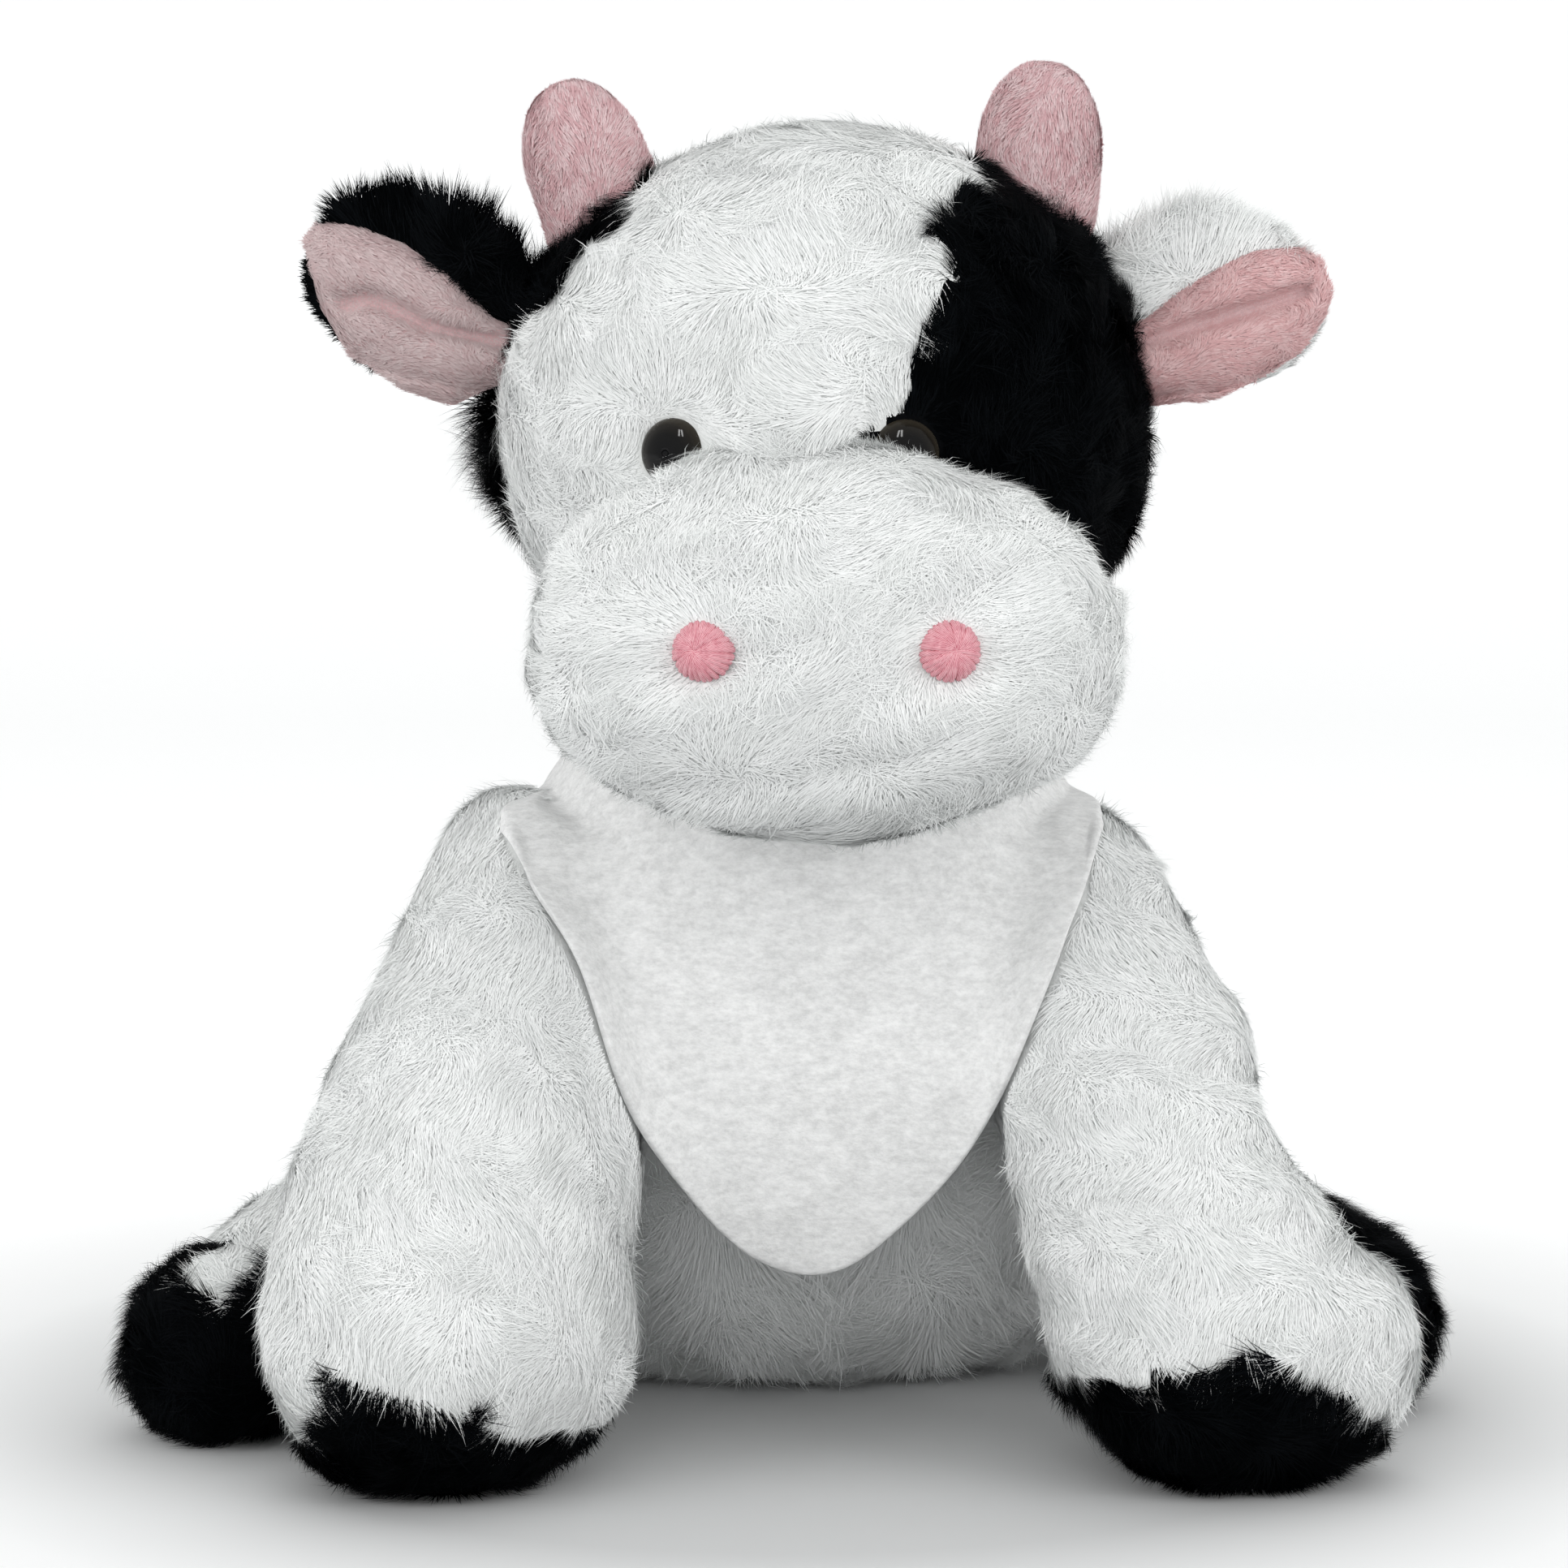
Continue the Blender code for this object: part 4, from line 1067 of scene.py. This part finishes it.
def build_lining(side):
    """The pink inside of an ear: a soft pad that is folded along its middle."""
    edges = {key: np.array(values, float) for key, values in LININGS[side].items()}
    top, bottom, fold = edges["top"], edges["bottom"], edges["fold"]
    columns, rows = 60, 40
    run = (1 - np.cos(np.linspace(0, math.pi, columns + 1))) / 2
    x = top[0, 0] + (top[-1, 0] - top[0, 0]) * run
    high, low = np.interp(x, top[:, 0], top[:, 1]), np.interp(x, bottom[:, 0], bottom[:, 1])
    up = (1 - np.cos(np.linspace(0, math.pi, rows + 1))) / 2
    z = low + (high - low) * up[:, None]
    flat = np.stack([np.broadcast_to(x, z.shape).ravel(), z.ravel()], 1)
    rim = np.concatenate([top, bottom[::-1]])
    crease = np.exp(-((from_line(flat, fold) / 1.9) ** 2))
    plump = (1 - np.exp(-from_line(flat, rim) / 2.4)) * (4.4 - 4.2 * crease)
    tree = search_tree(ears[side])[0]
    points = []
    for (across, height), rise in zip(flat, plump):
        place = spot(across, -60, height)
        hit = tree.ray_cast(Vector(place), Vector((0, 1, 0)))[0]
        place[1] = (hit.y if hit else NECK[1] - 0.0215) - (rise + 0.2) * MM
        points.append(place)
    lining = meshed(f"ear_{side}_lining_form", points, [], grid_faces(rows + 1, columns + 1, False))
    edit(lining)
    bpy.ops.mesh.remove_doubles(threshold=0.00005)
    bpy.ops.mesh.normals_make_consistent(inside=False)
    close_edit()
    if sum(face.normal.y for face in lining.data.polygons) > 0:
        lining.data.flip_normals()
    keep(lining, "SMOOTH", factor=0.5, iterations=2)
    keep(lining, "SOLIDIFY", thickness=0.0012, offset=-1.0)
    smooth(lining)
    lining.data.materials.append(PINK_BACKING)
    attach(lining, f"ear_{side}")
    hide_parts(f"ear_{side}_lining")
    return lining


linings = {side: build_lining(side) for side in SIDES}


# Coats

BIB = search_tree(bib)


def bare_at(*forms, margin=0.0, low=-1.0, places=(), gap=0.0, under_bib=False):
    """Where no pile grows: in other forms, low down, by some places, and under the bib."""
    def bare(points, normals):
        found = points[:, 2] < low
        for form in forms:
            found |= within(points, form, margin)
        if places:
            found |= distances(points, places) < gap
        if under_bib:
            found |= covered(points, normals, BIB)
        return found

    return bare


def head_reach(points, normals):
    """Short pile by the eyes, and long shaggy tufts on the left cheek."""
    share = trimmed(list(EYES.values()), 7, 15, 0.35)(points, normals)
    cheek = np.clip(1 - (np.linalg.norm(points - spot(-62, 2, 180), axis=1) / 0.024) ** 2, 0, 1)
    return share + 0.7 * cheek * head_colour(points, normals)


two_tone(head, head_colour)
head_comb = parted(radial(spot(0, -5, 182), (0, 0.12, -0.12)), EYES.values(), 15)
coat(head, "head", head_comb, [white_kind("head"), black_kind("head")], 11, length=7.4,
     bare=bare_at(muzzle, margin=-0.004, low=0.131, places=EYES.values(), gap=0.0066),
     kind_of=head_colour, reach=head_reach)
muzzle_comb = parted(radial(spot(0, -58, 144), (0, 0.12, -0.05)), NOSTRILS.values(), 11)
coat(muzzle, "head", muzzle_comb, [white_kind("muzzle")], 12, length=7.0,
     bare=bare_at(head, margin=-0.003, places=NOSTRILS.values(), gap=0.0046),
     reach=trimmed(list(NOSTRILS.values()), 4.5, 10, 0.4))


def trunk_reach(points, normals):
    """Shaggier pile on the lower belly."""
    return 1 + 0.4 * np.clip((0.065 - points[:, 2]) / 0.03, 0, 1) * (normals[:, 1] < -0.2)


coat(trunk, "body", towards((0, -0.1, -1), spot(0, 25, 0), 0.3), [white_kind("body")], 13,
     bare=bare_at(*legs.values(), margin=-0.004, low=0.0012, under_bib=True),
     length=8.4, per_mm2=6.4, reach=trunk_reach)
coat(neck, "neck", towards((0, 0, -1)), [white_kind("neck")], 14, length=6.0, bare=bare_at(trunk, head))

for number, (kind, side) in enumerate(legs):
    name = f"{kind}_leg_{side}"
    low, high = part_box(f"{kind}_hoof_{side}")
    colour_of = hoof_colour(side, kind)
    two_tone(legs[kind, side], colour_of)
    coat(legs[kind, side], name, towards(np.array((low + high) / 2) - JOINTS[name], JOINTS[name], 0.35),
         [white_kind(name), black_kind(f"{kind}_hoof_{side}")], 20 + number, tumble=0.9, wave=16,
         lift=(0.08, -0.12), stray=0.05, bare=bare_at(trunk, low=0.0010, under_bib=True), kind_of=colour_of)

SHORT_PILE = {"width": 0.15, "per_mm2": 17.0, "curved": 0.0, "lock": 1.6, "wave": 12, "lift": (0.28, 0.0)}

for number, side in enumerate(SIDES):
    joint = JOINTS[f"ear_{side}"]
    line, upper = EAR_LINES[side], EAR_UPS[side]
    cover = search_tree(linings[side])
    centre = np.array([point.co for point in linings[side].data.vertices]).mean(0)

    def ear_reach(points, normals):
        """Long pile along the upper edge and short pile along the lower one."""
        rise = (points - joint) @ upper
        return np.clip(0.55 + rise / 0.022, 0.4, 1.35)

    def ear_comb(points, normals):
        return unit(points - centre) + 0.6 * unit(line[None])

    def ear_bare(points, normals):
        """No pile inside the head, or in front where the lining covers the ear."""
        front = np.tile([0.0, -1.0, 0.0], (len(points), 1))
        return within(points, head) | (normals[:, 1] < 0.1) & covered(points, front, cover, 6)

    def lining_reach(points, normals):
        """Pile that is very short in the fold."""
        return np.clip(0.15 + (from_fold(points, side) - 0.8) / 1.6, 0.15, 1)

    made = black_kind(f"ear_{side}") if side == "left" else white_kind(f"ear_{side}")
    coat(ears[side], f"ear_{side}", ear_comb, [made], 40 + number, length=7.0, per_mm2=8.5,
         reach=ear_reach, bare=ear_bare)
    made = (f"ear_{side}_lining_pile", LINING_TONES[side], "pink_pile", 1.0)
    coat(linings[side], f"ear_{side}", towards(line), [made], 50 + number, length=2.0, loft=0.3,
         bare=lambda p, n: n[:, 1] > 0.2, reach=lining_reach, **SHORT_PILE)
    made = (f"horn_{side}_pile", PINK_TONES, "pink_pile", 1.0)
    coat(horns[side], f"horn_{side}", towards((SIDES[side] * 0.2, 0, 1)), [made], 60 + number,
         length=2.2, loft=0.4, bare=bare_at(head, margin=-0.002), **SHORT_PILE)

tuft_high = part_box("tail_tuft")[1].z


def tail_colour(points, normals):
    """1 where the tail's pile is black: its tuft."""
    return (points[:, 2] < tuft_high).astype(int)


two_tone(tail, tail_colour)
coat(tail, "tail", towards((0, 0.42, -0.91)), [white_kind("tail"), black_kind("tail")], 70, length=8.0,
     bare=bare_at(trunk), kind_of=tail_colour)


# Eyes


def turned_piece(name, profile, steps=48):
    """Spins an outline of (radius, height) points round the upright axis, closed at both ends."""
    points = [(radius, 0, height) for radius, height in profile]
    made = meshed(name, points, [(i, i + 1) for i in range(len(profile) - 1)], [])
    edit(made)
    bpy.ops.mesh.spin(steps=steps, angle=2 * math.pi, center=(0, 0, 0), axis=(0, 0, 1), dupli=False)
    bpy.ops.mesh.select_all(action="SELECT")
    bpy.ops.mesh.remove_doubles(threshold=0.000005)
    bpy.ops.mesh.normals_make_consistent(inside=False)
    close_edit()
    bpy.ops.object.shade_smooth_by_angle(angle=math.radians(35))
    return made


def settle(item, place, facing):
    """Puts a mesh at a place with its Z along a way and its Y upright. Its object stays at the origin."""
    front = Vector(facing).normalized()
    side = Vector((0, 0, 1)).cross(front).normalized()
    top = front.cross(side)
    item.data.transform(Matrix.Translation(place) @ Matrix((side, top, front)).transposed().to_4x4())
    item.data.update()


EYE_FACING = {"left": (-0.396, -0.9183, 0.0), "right": (0.1345, -0.9909, 0.0)}
BUTTON = 0.006


def build_eye(side):
    """A domed button with a shallow ring round its middle and a brown edge."""
    profile = [(0.0, 0.00405), (0.00045, 0.00403), (0.00058, 0.00390), (0.00072, 0.00402)]
    for step in range(1, 15):
        angle = math.radians(8 + 82 * step / 14)
        profile.append((BUTTON * math.sin(angle), 0.0042 * math.cos(angle)))
    profile += [(0.00603, -0.0004), (0.0058, -0.0008), (0.0, -0.0008)]
    made = turned_piece(f"eye_{side}_button", profile)
    coords = made.data.uv_layers.new(name="across_button")
    for loop in made.data.loops:
        x, y, _ = made.data.vertices[loop.vertex_index].co
        coords.data[loop.index].uv = (math.atan2(y, x) / math.tau + 0.5, min(1, math.hypot(x, y) / BUTTON))
    settle(made, EYES[side], EYE_FACING[side])
    made.data.materials.append(PLASTIC)
    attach(made, "head")
    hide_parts(f"eye_{side}")


# Nostrils

NOSTRIL_FACING = {"left": (-0.189, -0.9765, 0.1032), "right": (0.189, -0.9765, 0.1032)}


def thread_stitch(name, start, end, rise, radius):
    """One raised stitch: a round thread that arcs from one point to another."""
    curve = bpy.data.curves.new(name, "CURVE")
    curve.dimensions = "3D"
    curve.bevel_depth = radius
    curve.bevel_resolution = 2
    curve.use_fill_caps = True
    line = curve.splines.new("POLY")
    line.points.add(8)
    for index, point in enumerate(line.points):
        share = index / 8
        place = Vector(start).lerp(Vector(end), share)
        height = rise * math.sin(math.pi * min(1, 0.16 + share * 0.84)) ** 0.6
        point.co = (place.x, place.y, place.z + height, 1)
        point.radius = min(1.0, 0.40 + 0.75 * share)
    only(placed(name, curve))
    bpy.ops.object.convert(target="MESH")
    made = bpy.context.active_object
    coords = made.data.uv_layers.new(name="along_thread")
    way = (Vector(end) - Vector(start)).normalized()
    beside = way.cross(Vector((0, 0, 1)))
    for loop in made.data.loops:
        offset = made.data.vertices[loop.vertex_index].co - Vector(start)
        coords.data[loop.index].uv = (offset.dot(way) / 0.005, offset.dot(beside) / 0.001)
    return made


CUSHION = [
    (0.0, 0.0006), (0.0024, 0.0009), (0.0040, 0.0003), (0.0046, -0.0010), (0.0044, -0.0022), (0.0, -0.0024),
]
STITCHES = 29


def build_nostril(side):
    """A disc of satin stitch: threads that meet in a pinch beside its middle."""
    source = np.random.default_rng(5 if side == "left" else 6)
    pinch = Vector((-0.0011 if side == "left" else 0.0005, -0.0002, -0.0004))
    cushion = turned_piece("cushion", CUSHION, 24)
    cushion.data.uv_layers.new(name="along_thread")
    stitches = [cushion]
    for number in range(STITCHES):
        angle = math.tau * (number + source.uniform(-0.18, 0.18)) / STITCHES
        reach = 0.0049 * source.uniform(0.98, 1.02)
        end = Vector((math.cos(angle) * reach, math.sin(angle) * reach, -0.0016))
        rise = 0.0023 * source.uniform(0.93, 1.07)
        stitches.append(thread_stitch(f"stitch_{number}", pinch, end, rise, 0.00058))
    made = joined(stitches, f"nostril_{side}_stitches")
    smooth(made)
    settle(made, NOSTRILS[side], NOSTRIL_FACING[side])
    made.data.materials.append(THREAD)
    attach(made, "head")
    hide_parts(f"nostril_{side}")


for side in SIDES:
    build_eye(side)
    build_nostril(side)


label = frame["nodes"]["care_label"]
label.data.materials.clear()
label.data.materials.append(TAPE)
